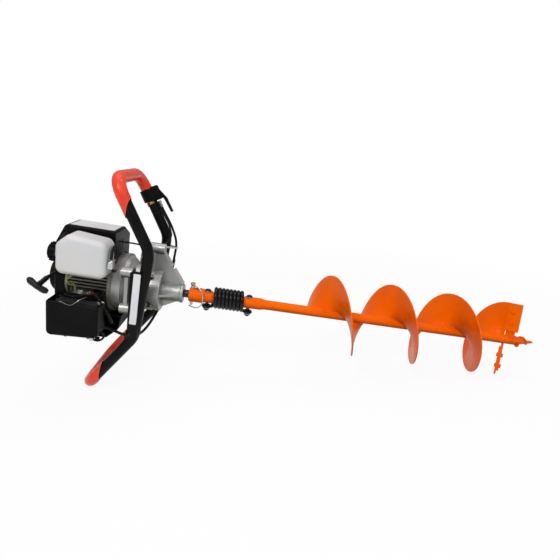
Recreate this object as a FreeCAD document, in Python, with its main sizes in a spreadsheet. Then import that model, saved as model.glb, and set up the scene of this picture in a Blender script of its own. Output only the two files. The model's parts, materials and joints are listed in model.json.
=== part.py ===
import FreeCAD, Part
import math
import os
import re

import Sketcher

Vector = FreeCAD.Vector
Placement = FreeCAD.Placement
Rotation = FreeCAD.Rotation

# Ice fishing auger with a small two-stroke engine, built lying the way it is put down.
# Every piece is drawn in the auger's own frame, in millimetres: X runs along the drilling
# axis towards the point, Y is sideways, Z is towards the fuel tank, and the zero is just in
# front of the gearbox nose. LIE then lays the whole machine on the floor.

SIZES = {
    "Auger": [
        ("flight_radius", 100, "outside radius of the flighting, half the hole"),
        ("flight_pitch", 163.4, "length of one turn of the flighting"),
        ("flight_thick", 3, "plate thickness of the flighting"),
        ("flight_start", 308, "where the flighting begins"),
        ("flight_top", 367.65, "first place where the rim is at the top"),
        ("flight_length", 544.4, "length of the flighting along the tube"),
        ("tube_radius", 12.5, "outside radius of the auger tube"),
        ("tube_wall", 2.5, "wall of the auger tube"),
        ("tube_end", 886, "where the tube meets the point"),
        ("point_length", 56, "length of the screw point"),
        ("point_plug", 14, "length of the point inside the tube"),
        ("collar_length", 41.5, "length of the auger collar"),
        ("collar_radius", 15, "outside radius of the auger collar"),
        ("collar_taper", 13.5, "length of the taper from collar to tube"),
        ("thread_reach", 7, "height of the thread on the point at its root end"),
        ("thread_pitch", 27, "pitch of the thread on the point"),
    ],
    "Cutters": [
        ("blade_width", 34, "blade, from its seam to its edge"),
        ("blade_inner", 25, "radius at the inner end of a blade"),
        ("blade_thick", 4, "blade thickness"),
        ("blade_angle", 37.5, "angle of a blade to the plane across the axis"),
        ("blade_outer", 100, "radius at the outer end of a blade"),
        ("carrier_inset", 4, "from the seam to the plate that carries a blade"),
        ("carrier_outer", 90, "radius at the outer end of a carrier plate"),
        ("bolt_seat", 14, "from the seam to the blade bolts"),
        ("bolt_near", 48, "radius at which the inner blade bolts sit"),
        ("bolt_far", 78, "radius at which the outer blade bolts sit"),
        ("carrier_width", 22, "width of the plate that carries a blade"),
        ("carrier_thick", 5, "thickness of the plate that carries a blade"),
        ("rivet_radius", 3, "shank radius of a blade bolt"),
    ],
    "Coupling": [
        ("socket_start", 6, "gap between the gearbox nose and the drive socket"),
        ("socket_length", 58, "length of the drive socket"),
        ("socket_body", 38, "length of the thick part of the drive socket"),
        ("socket_radius", 18.5, "outside radius of the drive socket"),
        ("socket_neck", 15.5, "radius of its thinner end, where the bolt goes through"),
        ("plug_radius", 13, "plugs that the spring is pushed over"),
        ("plug_length", 34, "length of each plug inside the spring"),
        ("spring_length", 81, "space between socket and collar that the spring bridges"),
        ("spring_radius", 21, "mean radius of the shock spring"),
        ("wire_radius", 4.8, "wire radius of the shock spring"),
        ("spring_coils", 7, "turns of the shock spring"),
        ("bolt_radius", 4, "shank radius of the coupling bolts"),
        ("bolt_inset", 12, "from the ends of the spring to the coupling bolts"),
        ("eye_drop", 25, "from the axis to the middle of the spring's eyes"),
        ("pin_place", 13, "lock pin, from the nose face"),
        ("pin_radius", 4, "lock pin radius"),
        ("pin_reach", 25, "half the length of the lock pin"),
        ("pin_head", 6, "thickness of the lock pin's head"),
        ("ring_swing", 30, "how far the lock pin's ring is turned to the near side"),
        ("ring_depth", 40, "reach of the lock pin's ring from the pin"),
        ("ring_wire", 1.3, "wire radius of the lock pin's ring"),
        ("running_gap", 0.05, "radial clearance of shafts and pins in their bores"),
    ],
    "Gearbox": [
        ("nose_back", 8, "nose face, behind the frame's zero"),
        ("nose_length", 52, "from the drum to the nose face"),
        ("nose_radius", 23, "outside radius of the nose"),
        ("nose_rim", 24.5, "radius of the bead round the nose face"),
        ("drum_radius", 49, "outside radius of the gear drum"),
        ("drum_rim", 2.5, "height of the rim round the drum's front edge"),
        ("drum_depth", 44, "depth of the gear drum along the axis"),
        ("bulge_radius", 37.5, "outside radius of the bulge for the layshaft gear, on the far side"),
        ("bulge_depth", 27, "depth of that bulge along the axis"),
        ("engine_rise", 8, "from the auger axis up to the crankshaft"),
        ("cast_wall", 4, "wall of the castings"),
        ("face_wall", 8, "thick walls that hold the bearings"),
        ("shaft_radius", 10, "output shaft radius"),
        ("shaft_reach", 36, "output shaft inside the drive socket"),
        ("shaft_bearing", 18.5, "outside radius of the output shaft bearings"),
        ("shaft_bearing_width", 9, "width of the output shaft bearings"),
        ("small_bearing", 11, "outside radius of the small bearings"),
        ("small_bearing_width", 7, "width of the small bearings"),
        ("lay_radius", 4, "journal radius of the layshaft and pinion shaft"),
        ("output_module", 1.75, "tooth module of the output pair"),
        ("output_teeth", 30, "teeth of the output gear"),
        ("lay_pinion_teeth", 9, "teeth of the layshaft pinion"),
        ("input_module", 1.25, "tooth module of the input pair"),
        ("lay_gear_teeth", 50, "teeth of the layshaft gear"),
        ("input_teeth", 9, "teeth of the input pinion"),
        ("output_gear_width", 12, "face width of the output pair"),
        ("input_gear_width", 8, "face width of the input pair"),
        ("gear_gap", 2, "free space at each side of the gears"),
        ("backlash", 0.3, "tooth thickness given up for free running"),
        ("boss_height", 106, "top boss above the auger axis"),
        ("boss_radius", 13, "radius of the top boss"),
        ("boss_length", 34, "length of the top boss"),
        ("ear_size", 7, "radius of the screw ears round the drum"),
        ("hub_length", 10, "bearing hub on the cover, towards the clutch"),
        ("hub_radius", 15, "outside radius of that hub"),
        ("journal_step", 2, "step from a journal up to the shaft's body"),
        ("rib_thick", 5, "thickness of the cast ribs"),
        ("rib_band", 16, "width of the band along the top of the rib"),
    ],
    "Engine": [
        ("bell_radius", 73, "outside radius of the clutch housing"),
        ("bell_length", 53, "length of the clutch housing"),
        ("clutch_radius", 39, "outside radius of the clutch drum"),
        ("clutch_depth", 22, "depth of the clutch drum"),
        ("clutch_wall", 2.5, "wall of the clutch drum"),
        ("hub_gap", 2, "from the cover's hub to the clutch drum"),
        ("shoe_gap", 1.5, "gap between the clutch shoes and the drum"),
        ("case_radius", 36, "outside radius of the crankcase"),
        ("chamber_radius", 30, "radius of the crank chamber"),
        ("chamber_length", 42, "length of the crank chamber"),
        ("crank_bearing", 15, "outside radius of the crank bearings"),
        ("crank_bearing_width", 9, "width of the crank bearings"),
        ("crank_throw", 14, "from the crankshaft's axis to its pin"),
        ("case_length", 107, "length of the crankcase"),
        ("flange_thick", 8, "thickness of the crankcase flange"),
        ("crank_radius", 7.5, "crankshaft radius"),
        ("fin_half", 38, "half the breadth of the cylinder fins"),
        ("fin_step", 8, "spacing of the cylinder fins"),
        ("fin_thick", 2.4, "thickness of a fin"),
        ("fin_count", 10, "number of fins"),
        ("fin_long", 33, "half the length of the cylinder fins, along the axis"),
        ("fin_first", -20, "height of the uppermost fin"),
        ("plug_seat", 7, "thread radius of the spark plug"),
        ("plug_body", 10, "radius of the spark plug's hexagon"),
        ("cylinder_radius", 26, "outside radius of the cylinder barrel"),
        ("muffler_floor", -88, "underside of the muffler"),
        ("muffler_high", 62, "height of the muffler"),
        ("muffler_deep", 36, "depth of the muffler"),
        ("fan_radius", 50, "outside radius of the flywheel fan"),
        ("fan_blades", 12, "blades on the flywheel fan"),
        ("starter_radius", 58, "outside radius of the starter housing"),
        ("starter_depth", 25, "depth of the fan part of the starter housing"),
        ("dome_radius", 42, "outside radius of the starter housing's dome"),
        ("dome_depth", 19, "depth of the starter housing's dome"),
        ("reel_radius", 20, "radius on which the rope winds"),
        ("reel_width", 10, "width of the rope reel"),
        ("axle_radius", 5, "post that the rope reel turns on"),
        ("starter_half", 57, "half the breadth of the starter housing"),
        ("pull_reach", 116, "from the axis out to the starter handle"),
        ("pull_height", 13, "height of the starter handle"),
        ("pull_half", 24, "half the length of the starter handle's crossbar"),
        ("rope_radius", 1.75, "starter rope radius"),
    ],
    "Tank and covers": [
        ("tank_long", 107, "fuel tank along the axis"),
        ("tank_high", 90, "fuel tank height"),
        ("tank_deep", 52, "fuel tank depth, front to back"),
        ("tank_right", -161, "right end of the fuel tank"),
        ("tank_front", -120, "front face of the fuel tank"),
        ("tank_floor", 48, "underside of the fuel tank"),
        ("tank_wall", 2.5, "wall of the fuel tank"),
        ("tank_seat", 0.3, "gap under the fuel tank, where it sits on the shelf"),
        ("shelf_long", 42, "length of the crankcase's shelf, along the axis"),
        ("shelf_thick", 6, "thickness of the crankcase's shelf"),
        ("cap_gap", 0.3, "clearance between the fuel cap and its neck"),
        ("cap_ribs", 14, "grip ribs on the fuel cap"),
        ("cap_radius", 21.5, "outside radius of the fuel cap"),
        ("cap_length", 17, "length of the fuel cap"),
        ("neck_radius", 17, "outside radius of the tank's filler neck"),
        ("neck_length", 12, "length of the tank's filler neck"),
        ("hood_top", 144, "flat top of the engine hood"),
        ("hood_wall", 2.5, "wall of the engine hood"),
        ("hood_left", -300, "left side of the engine hood"),
        ("hood_bevel", 28, "bevel at the upper left of the engine hood"),
        ("hood_drop", 58, "how far that bevel comes down"),
        ("hood_slope", 33, "depth of the slope at the back of the hood"),
        ("hood_foot", 68, "lower edge of the engine hood"),
        ("hood_right", -162, "right side of the engine hood"),
        ("hood_front", -58, "front edge of the engine hood"),
        ("hood_back", 47, "back of the engine hood"),
        ("port_height", -22, "height of the inlet port and the carburettor"),
        ("port_radius", 8, "bore of the inlet tract"),
        ("carb_deep", 28, "carburettor, front to back"),
        ("carb_half", 19, "half the breadth of the carburettor"),
        ("manifold_deep", 12, "depth of the inlet manifold"),
        ("valve_radius", 2, "radius of the choke and throttle shafts"),
        ("throttle_reach", 10, "length of the throttle arm on the carburettor"),
        ("stop_place", -209, "throttle cable's stop on the carburettor, along the axis"),
        ("box_left", -283, "left side of the air filter box"),
        ("box_long", 112, "air filter box along the axis"),
        ("box_floor", -96, "underside of the air filter box"),
        ("box_high", 86, "height of the air filter box"),
        ("box_deep", 46, "depth of the air filter box"),
        ("box_wall", 2.5, "wall of the air filter box"),
    ],
    "Handle": [
        ("handle_place", -90, "tubes of the handle, along the axis"),
        ("handle_half", 90, "tubes of the handle, out from the axis"),
        ("handle_lean", 0.1, "shift of the tubes along the axis for their height"),
        ("handle_radius", 12.5, "radius of the handle tubes"),
        ("handle_wall", 2, "wall of the handle tubes"),
        ("grip_thick", 2, "thickness of the rubber grips"),
        ("grip_slant", 1.4, "how far the grips' ends slant, for each millimetre across"),
        ("top_bend", 118, "where the upper arms bend back"),
        ("top_reach", -160, "upper bar, along the axis"),
        ("top_height", 266, "upper bar above the axis"),
        ("low_bend", -93, "where the lower arms bend back"),
        ("low_reach", -205, "lower bar, along the axis"),
        ("low_height", -240, "lower bar below the axis"),
        ("bar_bend", 40, "radius of the corners of the bars"),
        ("arm_bend", 60, "radius where the arms bend back"),
        ("bracket_thick", 3, "plate thickness of the handle brackets"),
        ("bracket_wide", 24, "width of the handle brackets"),
        ("bracket_top", 74, "upper end of the handle brackets"),
        ("bracket_foot", -92, "lower end of the handle brackets"),
        ("ear_top", 61, "upper ear of the handle mounts"),
        ("ear_low", -27, "lower ear of the handle mounts"),
        ("ear_radius", 12, "outside radius of an ear"),
        ("ear_length", 25, "length of an ear"),
        ("ear_half", 80, "ears, out from the axis"),
        ("screw_radius", 3, "shank radius of the M6 screws"),
        ("clamp_start", 42, "throttle clamp, from the corner of the upper bar down its far arm"),
        ("clamp_length", 30, "length of the throttle clamp"),
        ("clamp_wall", 4, "wall of the throttle clamp round the tube"),
        ("lever_length", 66, "length of the throttle lever"),
        ("cable_radius", 3, "outside radius of the throttle cable"),
        ("lead_radius", 2, "outside radius of the stop switch lead"),
        ("hose_radius", 2.6, "outside radius of the fuel hose"),
        ("tie_height", 90, "height of the strap that holds the cable"),
        ("tie_width", 4, "width of that strap"),
    ],
}

doc = FreeCAD.newDocument("ice_fishing_auger")
sheet = doc.addObject("Spreadsheet::Sheet", "Sizes")
size = {}


def fill_sheet():
    """Write every driving dimension into the sheet, a heading above each group."""
    row = 1
    for group, lines in SIZES.items():
        sheet.set(f"A{row}", group)
        row += 1
        for alias, value, meaning in lines:
            sheet.set(f"A{row}", alias)
            sheet.set(f"B{row}", str(value))
            sheet.set(f"C{row}", meaning)
            sheet.setAlias(f"B{row}", alias)
            size[alias] = float(value)
            row += 1
    doc.recompute()


fill_sheet()


def formula(text):
    """A formula with every alias named as a cell of the sheet."""
    return re.sub(r"[A-Za-z_]\w*",
                  lambda word: "Sizes." + word.group() if word.group() in size else word.group(),
                  str(text))


def val(text):
    """The number that a formula has now."""
    return float(sheet.evalExpression(formula(text)))


def bind(thing, prop, text):
    thing.setExpression(prop, formula(text))


def new_body(label):
    body = doc.addObject("PartDesign::Body", label)
    body.Label = label
    return body


def add_sketch(body, plane, at=(0, 0, 0), tilt=None):
    """A sketch on one of the body's own planes, moved by formulas in the plane's own axes."""
    sketch = body.newObject("Sketcher::SketchObject", body.Label + "_sketch")
    base = [item for item in body.Origin.OriginFeatures if item.Role == plane + "_Plane"][0]
    sketch.AttachmentSupport = [(base, "")]
    sketch.MapMode = "FlatFace"
    if tilt:
        seat = Vector(val(at[0]), val(at[1]), 0) + tilt.multVec(Vector(0, 0, val(at[2])))
        sketch.AttachmentOffset = Placement(seat, tilt)
        return sketch
    for axis, text in zip("xyz", at):
        if text != 0:
            bind(sketch, f"AttachmentOffset.Base.{axis}", text)
    return sketch


def fix_point(sketch, edge, end, x, y):
    """Hold one sketch point at two formulas measured from the sketch's zero."""
    for kind, text in (("DistanceX", x), ("DistanceY", y)):
        number = sketch.addConstraint(Sketcher.Constraint(kind, -1, 1, edge, end, val(text)))
        if re.search("[a-z]", str(text)):
            bind(sketch, f"Constraints[{number}]", text)


def add_outline(sketch, corners):
    """A closed outline of straight lines; every corner is a pair of formulas."""
    first = sketch.GeometryCount
    count = len(corners)
    points = [Vector(val(x), val(y), 0) for x, y in corners]
    for i in range(count):
        sketch.addGeometry(Part.LineSegment(points[i], points[(i + 1) % count]))
    for i in range(count):
        sketch.addConstraint(Sketcher.Constraint("Coincident", first + i, 2, first + (i + 1) % count, 1))
    for i, (x, y) in enumerate(corners):
        fix_point(sketch, first + i, 1, x, y)


def add_circle(sketch, x, y, radius):
    edge = sketch.addGeometry(Part.Circle(Vector(val(x), val(y), 0), Vector(0, 0, 1), val(radius)))
    fix_point(sketch, edge, 3, x, y)
    number = sketch.addConstraint(Sketcher.Constraint("Radius", edge, val(radius)))
    if re.search("[a-z]", str(radius)):
        bind(sketch, f"Constraints[{number}]", radius)


def rectangle(left, low, right, high):
    return [(left, low), (right, low), (right, high), (left, high)]


def fill(sketch, shapes):
    """Outlines are lists of corners, circles are (x, y, radius)."""
    for shape in shapes:
        if isinstance(shape, list):
            add_outline(sketch, shape)
        else:
            add_circle(sketch, *shape)


def pad(body, plane, shapes, start, length, at=(0, 0), tilt=None, middle=False):
    """Add material from `start` over `length`, both measured along the plane's normal."""
    sketch = add_sketch(body, plane, (at[0], at[1], start), tilt)
    fill(sketch, shapes)
    feature = body.newObject("PartDesign::Pad", body.Label + "_pad")
    feature.Profile = sketch
    bind(feature, "Length", length)
    feature.Midplane = middle
    return feature


def cut(body, plane, shapes, start, length, at=(0, 0), tilt=None):
    """Remove material from `start` over `length` along the plane's normal."""
    sketch = add_sketch(body, plane, (at[0], at[1], start), tilt)
    fill(sketch, shapes)
    feature = body.newObject("PartDesign::Pocket", body.Label + "_pocket")
    feature.Profile = sketch
    bind(feature, "Length", length)
    feature.Reversed = True
    return feature


def spin(body, shapes, plane="XZ", at=(0, 0, 0), axis="H_Axis", groove=False):
    """Turn a half section round the sketch's own axis."""
    sketch = add_sketch(body, plane, at)
    fill(sketch, shapes)
    kind = "PartDesign::Groove" if groove else "PartDesign::Revolution"
    feature = body.newObject(kind, body.Label + "_turn")
    feature.Profile = sketch
    feature.ReferenceAxis = (sketch, [axis])
    feature.Angle = 360
    return feature


def ring_array(body, feature, count, axis_sketch, axis="N_Axis"):
    """Repeat a feature evenly round the normal of a sketch."""
    pattern = body.newObject("PartDesign::PolarPattern", body.Label + "_ring")
    pattern.Originals = [feature]
    pattern.Axis = (axis_sketch, [axis])
    pattern.Angle = 360
    bind(pattern, "Occurrences", count)
    body.Tip = pattern
    return pattern


def row_array(body, feature, count, length, axis_sketch, axis):
    """Repeat a feature in a straight row."""
    pattern = body.newObject("PartDesign::LinearPattern", body.Label + "_row")
    pattern.Originals = [feature]
    pattern.Direction = (axis_sketch, [axis])
    bind(pattern, "Length", length)
    bind(pattern, "Occurrences", count)
    body.Tip = pattern
    return pattern


def edge_names(shape, chosen):
    return [f"Edge{i + 1}" for i, edge in enumerate(shape.Edges) if chosen(edge)]


def soften(body, radius, chosen, kind="Fillet"):
    """Round or bevel the edges of the tip that `chosen` accepts."""
    doc.recompute()
    tip = body.Tip
    feature = body.newObject("PartDesign::" + kind, body.Label + "_" + kind.lower())
    feature.Base = (tip, edge_names(tip.Shape, chosen))
    bind(feature, "Radius" if kind == "Fillet" else "Size", radius)
    body.Tip = feature
    return feature


def along(direction):
    """Chooser of straight edges parallel to one direction."""
    target = Vector(*direction)

    def chosen(edge):
        if not isinstance(edge.Curve, Part.Line):
            return False
        return abs(abs(edge.Curve.Direction.dot(target)) - 1) < 1e-6

    return chosen


def new_feature(label, shape):
    """A sub-part whose shape comes straight from Part's functions."""
    feature = doc.addObject("Part::Feature", label)
    feature.Label = label
    feature.Shape = shape
    return feature


# Places along the axis that several pieces share.
SPRING_START = "(socket_start + socket_length)"
COLLAR_START = "(socket_start + socket_length + spring_length)"
COLLAR_END = "(socket_start + socket_length + spring_length + collar_length)"
TUBE_START = "(socket_start + socket_length + spring_length + collar_length + collar_taper)"
TUBE_BORE = "(tube_radius - tube_wall)"
BLADE_SEAM = "(flight_start + flight_length)"
NOSE_FACE = "(0 - nose_back)"
DRUM_FACE = "(0 - nose_back - nose_length)"
DRUM_BACK = f"({DRUM_FACE} - drum_depth)"
COVER_BACK = f"({DRUM_BACK} - face_wall)"
BELL_BACK = f"({COVER_BACK} - bell_length)"
CASE_BACK = f"({BELL_BACK} - case_length)"
STARTER_BACK = f"({CASE_BACK} - starter_depth)"
DOME_BACK = f"({CASE_BACK} - starter_depth - dome_depth)"
REEL_PLACE = f"({STARTER_BACK} - 2.5 - reel_width / 2)"
GEAR_FACE = f"({DRUM_FACE} - face_wall - gear_gap)"
INPUT_FACE = f"({GEAR_FACE} - output_gear_width - gear_gap)"
INPUT_BACK = f"({INPUT_FACE} - input_gear_width)"
OUTPUT_SPAN = "(output_module * (output_teeth + lay_pinion_teeth) / 2)"
INPUT_SPAN = "(input_module * (lay_gear_teeth + input_teeth) / 2)"
LAY_UP = f"(({OUTPUT_SPAN}^2 + engine_rise^2 - {INPUT_SPAN}^2) / (2 * engine_rise))"
LAY_ACROSS = f"sqrt({OUTPUT_SPAN}^2 - {LAY_UP}^2)"
HUB_BACK = f"({COVER_BACK} - hub_length)"
EAR_END = "(handle_place - handle_radius - bracket_thick - 7)"
DRUM_WEB = f"({HUB_BACK} - hub_gap)"
CRANK_END = f"({DRUM_WEB} - clutch_wall - 3)"
CHAMBER_BACK = f"({CASE_BACK} + crank_bearing_width + 1)"
CYLINDER_PLACE = f"({CASE_BACK} + 5.5 + fin_long)"
HEAD_FACE = "(fin_first - fin_step * (fin_count - 1) - 8)"
HOSE_PLACE = f"({CYLINDER_PLACE} - 13)"
CARB_BACK = "(0 - fin_half - manifold_deep)"
CARB_FRONT = "(0 - fin_half - manifold_deep - carb_deep)"
BOX_BACK = f"({CARB_FRONT} - 4)"
BOX_FRONT = f"({CARB_FRONT} - 4 - box_deep)"


# ---- Auger: tube, flighting, screw point and cutting blades ----

def make_auger_tube():
    """A tube with a thick collar whose plug goes into the shock spring."""
    body = new_body("auger_tube")
    spin(body, [[
        (f"{COLLAR_START} - plug_length", 0),
        (f"{COLLAR_START} - plug_length", "plug_radius"),
        (COLLAR_START, "plug_radius"),
        (COLLAR_START, "collar_radius"),
        (COLLAR_END, "collar_radius"),
        (TUBE_START, "tube_radius"),
        ("tube_end", "tube_radius"),
        ("tube_end", TUBE_BORE),
        (TUBE_START, TUBE_BORE),
        (TUBE_START, 0),
    ]])
    cut(body, "XY", [(f"{COLLAR_START} + bolt_inset", 0, "bolt_radius + running_gap")],
        "-2 * collar_radius", "4 * collar_radius")


def radial_bar(turn, x, inner, outer, thick):
    """Closed outline of the flighting's section, standing out from the axis at `turn` degrees."""
    rotation = Rotation(Vector(1, 0, 0), turn)
    corners = [(x, inner), (x + thick, inner), (x + thick, outer), (x, outer), (x, inner)]
    return Part.makePolygon([rotation.multVec(Vector(px, 0, r)) for px, r in corners])


def screw_ribbon(start, length, pitch, top, inner, outer, thick):
    """A right-handed ribbon round the axis; `inner` and `outer` give its radii at a share of it.

    The bars are joined by ruled faces, so every bar stays straight as it does in rolled plate.
    """
    step = 7.5
    first = (start - top) / pitch * 360
    last = first + length / pitch * 360
    count = math.ceil((last - first) / step)
    bars = []
    for i in range(count + 1):
        share = i / count
        turn = first + (last - first) * share
        bars.append(radial_bar(turn, start + length * share, inner(share), outer(share), thick))
    return Part.makeLoft(bars, True, True)


def make_flighting():
    """The flighting grows out of the tube over its first part of a turn."""
    rim = size["flight_radius"]
    root = size["tube_radius"] + size["running_gap"]
    lead = 0.045

    def outer(share):
        return rim if share > lead else root + 8 + (rim - root - 8) * math.sin(share / lead * math.pi / 2)

    new_feature("auger_flighting", screw_ribbon(
        size["flight_start"], size["flight_length"], size["flight_pitch"], size["flight_top"],
        lambda share: root, outer, size["flight_thick"]))


def make_point():
    """The screw point: a cone with a plug in the tube, and the thread that pulls it in."""
    root = size["tube_radius"]
    end = size["tube_end"]
    length = size["point_length"]
    forward = Vector(1, 0, 0)
    inside = size["point_plug"]
    plug = Part.makeCylinder(val(TUBE_BORE), inside, Vector(end - inside, 0, 0), forward)
    cone = Part.makeCone(root, root * 0.08, length, Vector(end, 0, 0), forward)

    def surface(share):
        return root * (1 - 0.92 * share * 0.86)

    thread = screw_ribbon(end + 1, length * 0.86, size["thread_pitch"], size["flight_top"],
                          lambda share: surface(share) - 0.4,
                          lambda share: surface(share) + size["thread_reach"] * (1 - 0.8 * share), 2.2)
    new_feature("screw_point", plug.fuse([cone, thread]))


def blade_tilts():
    """Attitude of both cutters: their seam lies along the last edge of the flighting.

    The second cutter is half a turn round from the first.
    """
    lean = Rotation(Vector(0, 1, 0), size["blade_angle"] - 90)
    turn = (val(BLADE_SEAM) - size["flight_top"]) / size["flight_pitch"] * 360
    return [Rotation(Vector(1, 0, 0), turn + half).multiply(lean) for half in (0, 180)]


def make_cutters():
    """Two blades, the plates welded to the tube that carry them, and their bolts."""
    carriers = new_body("blade_carriers")
    blades = new_body("cutting_blades")
    bolts = new_body("blade_bolts")
    spots = ("bolt_near", "bolt_far")
    holes = [("bolt_seat", spot, "rivet_radius") for spot in spots]
    heads = [("bolt_seat", spot, "rivet_radius * 1.8") for spot in spots]
    plate = rectangle("carrier_inset", 0, "carrier_inset + carrier_width", "carrier_outer")
    blade = rectangle(0, "blade_inner", "blade_width", "blade_outer")
    at = (BLADE_SEAM, 0)
    for tilt in blade_tilts():
        back = pad(carriers, "XZ", [plate] + holes, 0, "carrier_thick", at, tilt)
        back.Reversed = True
        pad(blades, "XZ", [blade] + holes, 0, "blade_thick", at, tilt)
        pad(bolts, "XZ", holes, "-carrier_thick - 4", "carrier_thick + blade_thick + 7", at, tilt)
        pad(bolts, "XZ", heads, "blade_thick", 3, at, tilt)
        pad(bolts, "XZ", heads, "-carrier_thick - 4", 4, at, tilt)
    spin(carriers, [rectangle(f"{BLADE_SEAM} - flight_radius", 0, "tube_end", "tube_radius")],
         groove=True)


# ---- Coupling: drive socket, lock pin, shock spring and its bolts ----

def make_drive_socket():
    """Orange sleeve over the output shaft, with the plug that the spring is pushed over."""
    body = new_body("drive_socket")
    step = "(socket_start + socket_body)"
    spin(body, [[
        ("socket_start", "shaft_radius + running_gap"),
        ("socket_start", "socket_radius - 2"),
        ("socket_start + 2", "socket_radius"),
        (f"{step} - 1", "socket_radius"),
        (step, "socket_radius - 1"),
        (step, "socket_neck"),
        (SPRING_START, "socket_neck"),
        (SPRING_START, "plug_radius"),
        (f"{SPRING_START} + plug_length", "plug_radius"),
        (f"{SPRING_START} + plug_length", 0),
        ("socket_start + shaft_reach + 1", 0),
        ("socket_start + shaft_reach + 1", "shaft_radius + running_gap"),
    ]])
    across = "4 * socket_radius"
    cut(body, "XY", [(f"{SPRING_START} - bolt_inset", 0, "bolt_radius + running_gap")],
        "-2 * socket_radius", across)
    cut(body, "XY", [("pin_place", 0, "pin_radius + running_gap")], "-2 * socket_radius", across)


def make_output_shaft():
    body = new_body("output_shaft")
    back = f"({GEAR_FACE} - output_gear_width)"
    spin(body, [[(back, 0), (back, "shaft_radius"),
                 ("socket_start + shaft_reach", "shaft_radius"), ("socket_start + shaft_reach", 0)]])
    cut(body, "XY", [("pin_place", 0, "pin_radius + running_gap")],
        "-2 * shaft_radius", "4 * shaft_radius")


def make_lock_pin():
    """Pin through socket and shaft; a wire ring swings in its head and hooks under its far end."""
    body = new_body("lock_pin")
    pad(body, "XY", [("pin_place", 0, "pin_radius")], "-pin_reach", "2 * pin_reach")
    pad(body, "XY", [("pin_place", 0, "pin_radius * 1.5")], "pin_reach", "pin_head")
    swing = Rotation(Vector(0, 0, 1), -size["ring_swing"])
    away = swing.multVec(Vector(1, 0, 0))
    side = swing.multVec(Vector(0, -1, 0))
    wire = size["ring_wire"]
    half = size["pin_reach"] + size["pin_head"] / 2
    beside = size["pin_radius"] * 1.5 + 2 * wire + 0.4
    top = Vector(size["pin_place"], 0, half) + side * beside
    foot = top - Vector(0, 0, 2 * half)
    out = away * size["ring_depth"]
    axle = top - side * (beside + size["pin_radius"])
    hook = foot - side * (beside + size["pin_radius"] / 2)
    path = rounded_path([axle, top, top + out, foot + out, foot, hook],
                        [2 * wire, half * 0.9, half * 0.9, 2 * wire])
    new_feature("lock_ring", tube_along(path, wire))
    doc.recompute()
    through = 4 * size["pin_radius"]
    tool = body.newObject("PartDesign::SubtractiveCylinder", "ring_hole")
    tool.Radius = wire + size["running_gap"]
    tool.Height = through
    tool.Placement = Placement(axle + side * (through - 0.5), Rotation(Vector(0, 0, 1), -side))


def coil(start, pitch, turns, first, radius, wire, sides, steps):
    """A round wire wound round the axis, as a ruled loft of many-sided sections."""
    rise = math.atan2(pitch, 2 * math.pi * radius)
    sections = []
    for i in range(int(turns * steps) + 1):
        turn = first + 360 * i / steps
        spot = Placement(Vector(start + pitch * i / steps, 0, 0), Rotation(Vector(1, 0, 0), turn))
        lean = Placement(Vector(0, 0, radius), Rotation(Vector(0, 0, 1), math.degrees(rise)))
        place = spot.multiply(lean)
        ring = [place.multVec(Vector(wire * math.cos(a), 0, wire * math.sin(a)))
                for a in (2 * math.pi * (k + 0.5) / sides for k in range(sides))]
        sections.append(Part.makePolygon(ring + ring[:1]))
    return Part.makeLoft(sections, True, True)


def make_shock_spring():
    """Heavy coil with an eye at each end, where a bolt holds it to the socket and the collar."""
    wire = size["wire_radius"]
    start = val(SPRING_START) + wire + 0.4
    end = val(COLLAR_START) - wire - 0.4
    turns = size["spring_coils"]
    spring = coil(start, (end - start) / turns, turns, 180, size["spring_radius"], wire, 8, 15)
    thick = 2 * wire - 2
    places = (val(SPRING_START) - size["bolt_inset"], val(COLLAR_START) + size["bolt_inset"])
    for place, side in zip(places, (1, -1)):
        floor = -size["eye_drop"] - thick / 2
        reach = size["bolt_inset"] + wire
        arm = Part.makeBox(reach, 2 * wire, thick, Vector(min(place, place + side * reach), -wire, floor))
        eye = Part.makeCylinder(2 * size["bolt_radius"], thick, Vector(place, 0, floor))
        spring = spring.fuse([arm, eye])
    for place in places:
        foot = Vector(place, 0, -2 * size["eye_drop"])
        hole = Part.makeCylinder(size["bolt_radius"] + size["running_gap"], 4 * size["eye_drop"], foot)
        spring = spring.cut(hole)
    new_feature("shock_spring", spring)


def make_coupling_bolt(label, place, seat):
    """Round-headed bolt across the axis with a nut under the spring's eye."""
    body = new_body(label)
    under = "eye_drop + wire_radius - 1"
    pad(body, "XY", [(place, 0, "bolt_radius")], f"-({under} + 8)", f"{under} + 8 + {seat}")
    pad(body, "XY", [(place, 0, "bolt_radius * 1.8")], seat, 4.5)
    soften(body, 2.5, lambda edge: isinstance(edge.Curve, Part.Circle)
           and edge.BoundBox.ZMin > val(seat) + 4)
    turns = [math.pi / 3 * k for k in range(6)]
    nut = [(f"{place} + bolt_radius * 1.75 * {round(math.cos(turn), 4)}",
            f"bolt_radius * 1.75 * {round(math.sin(turn), 4)}") for turn in turns]
    pad(body, "XY", [nut], f"-({under} + 6)", 6)


# ---- Gears, shafts and bearings ----

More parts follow.
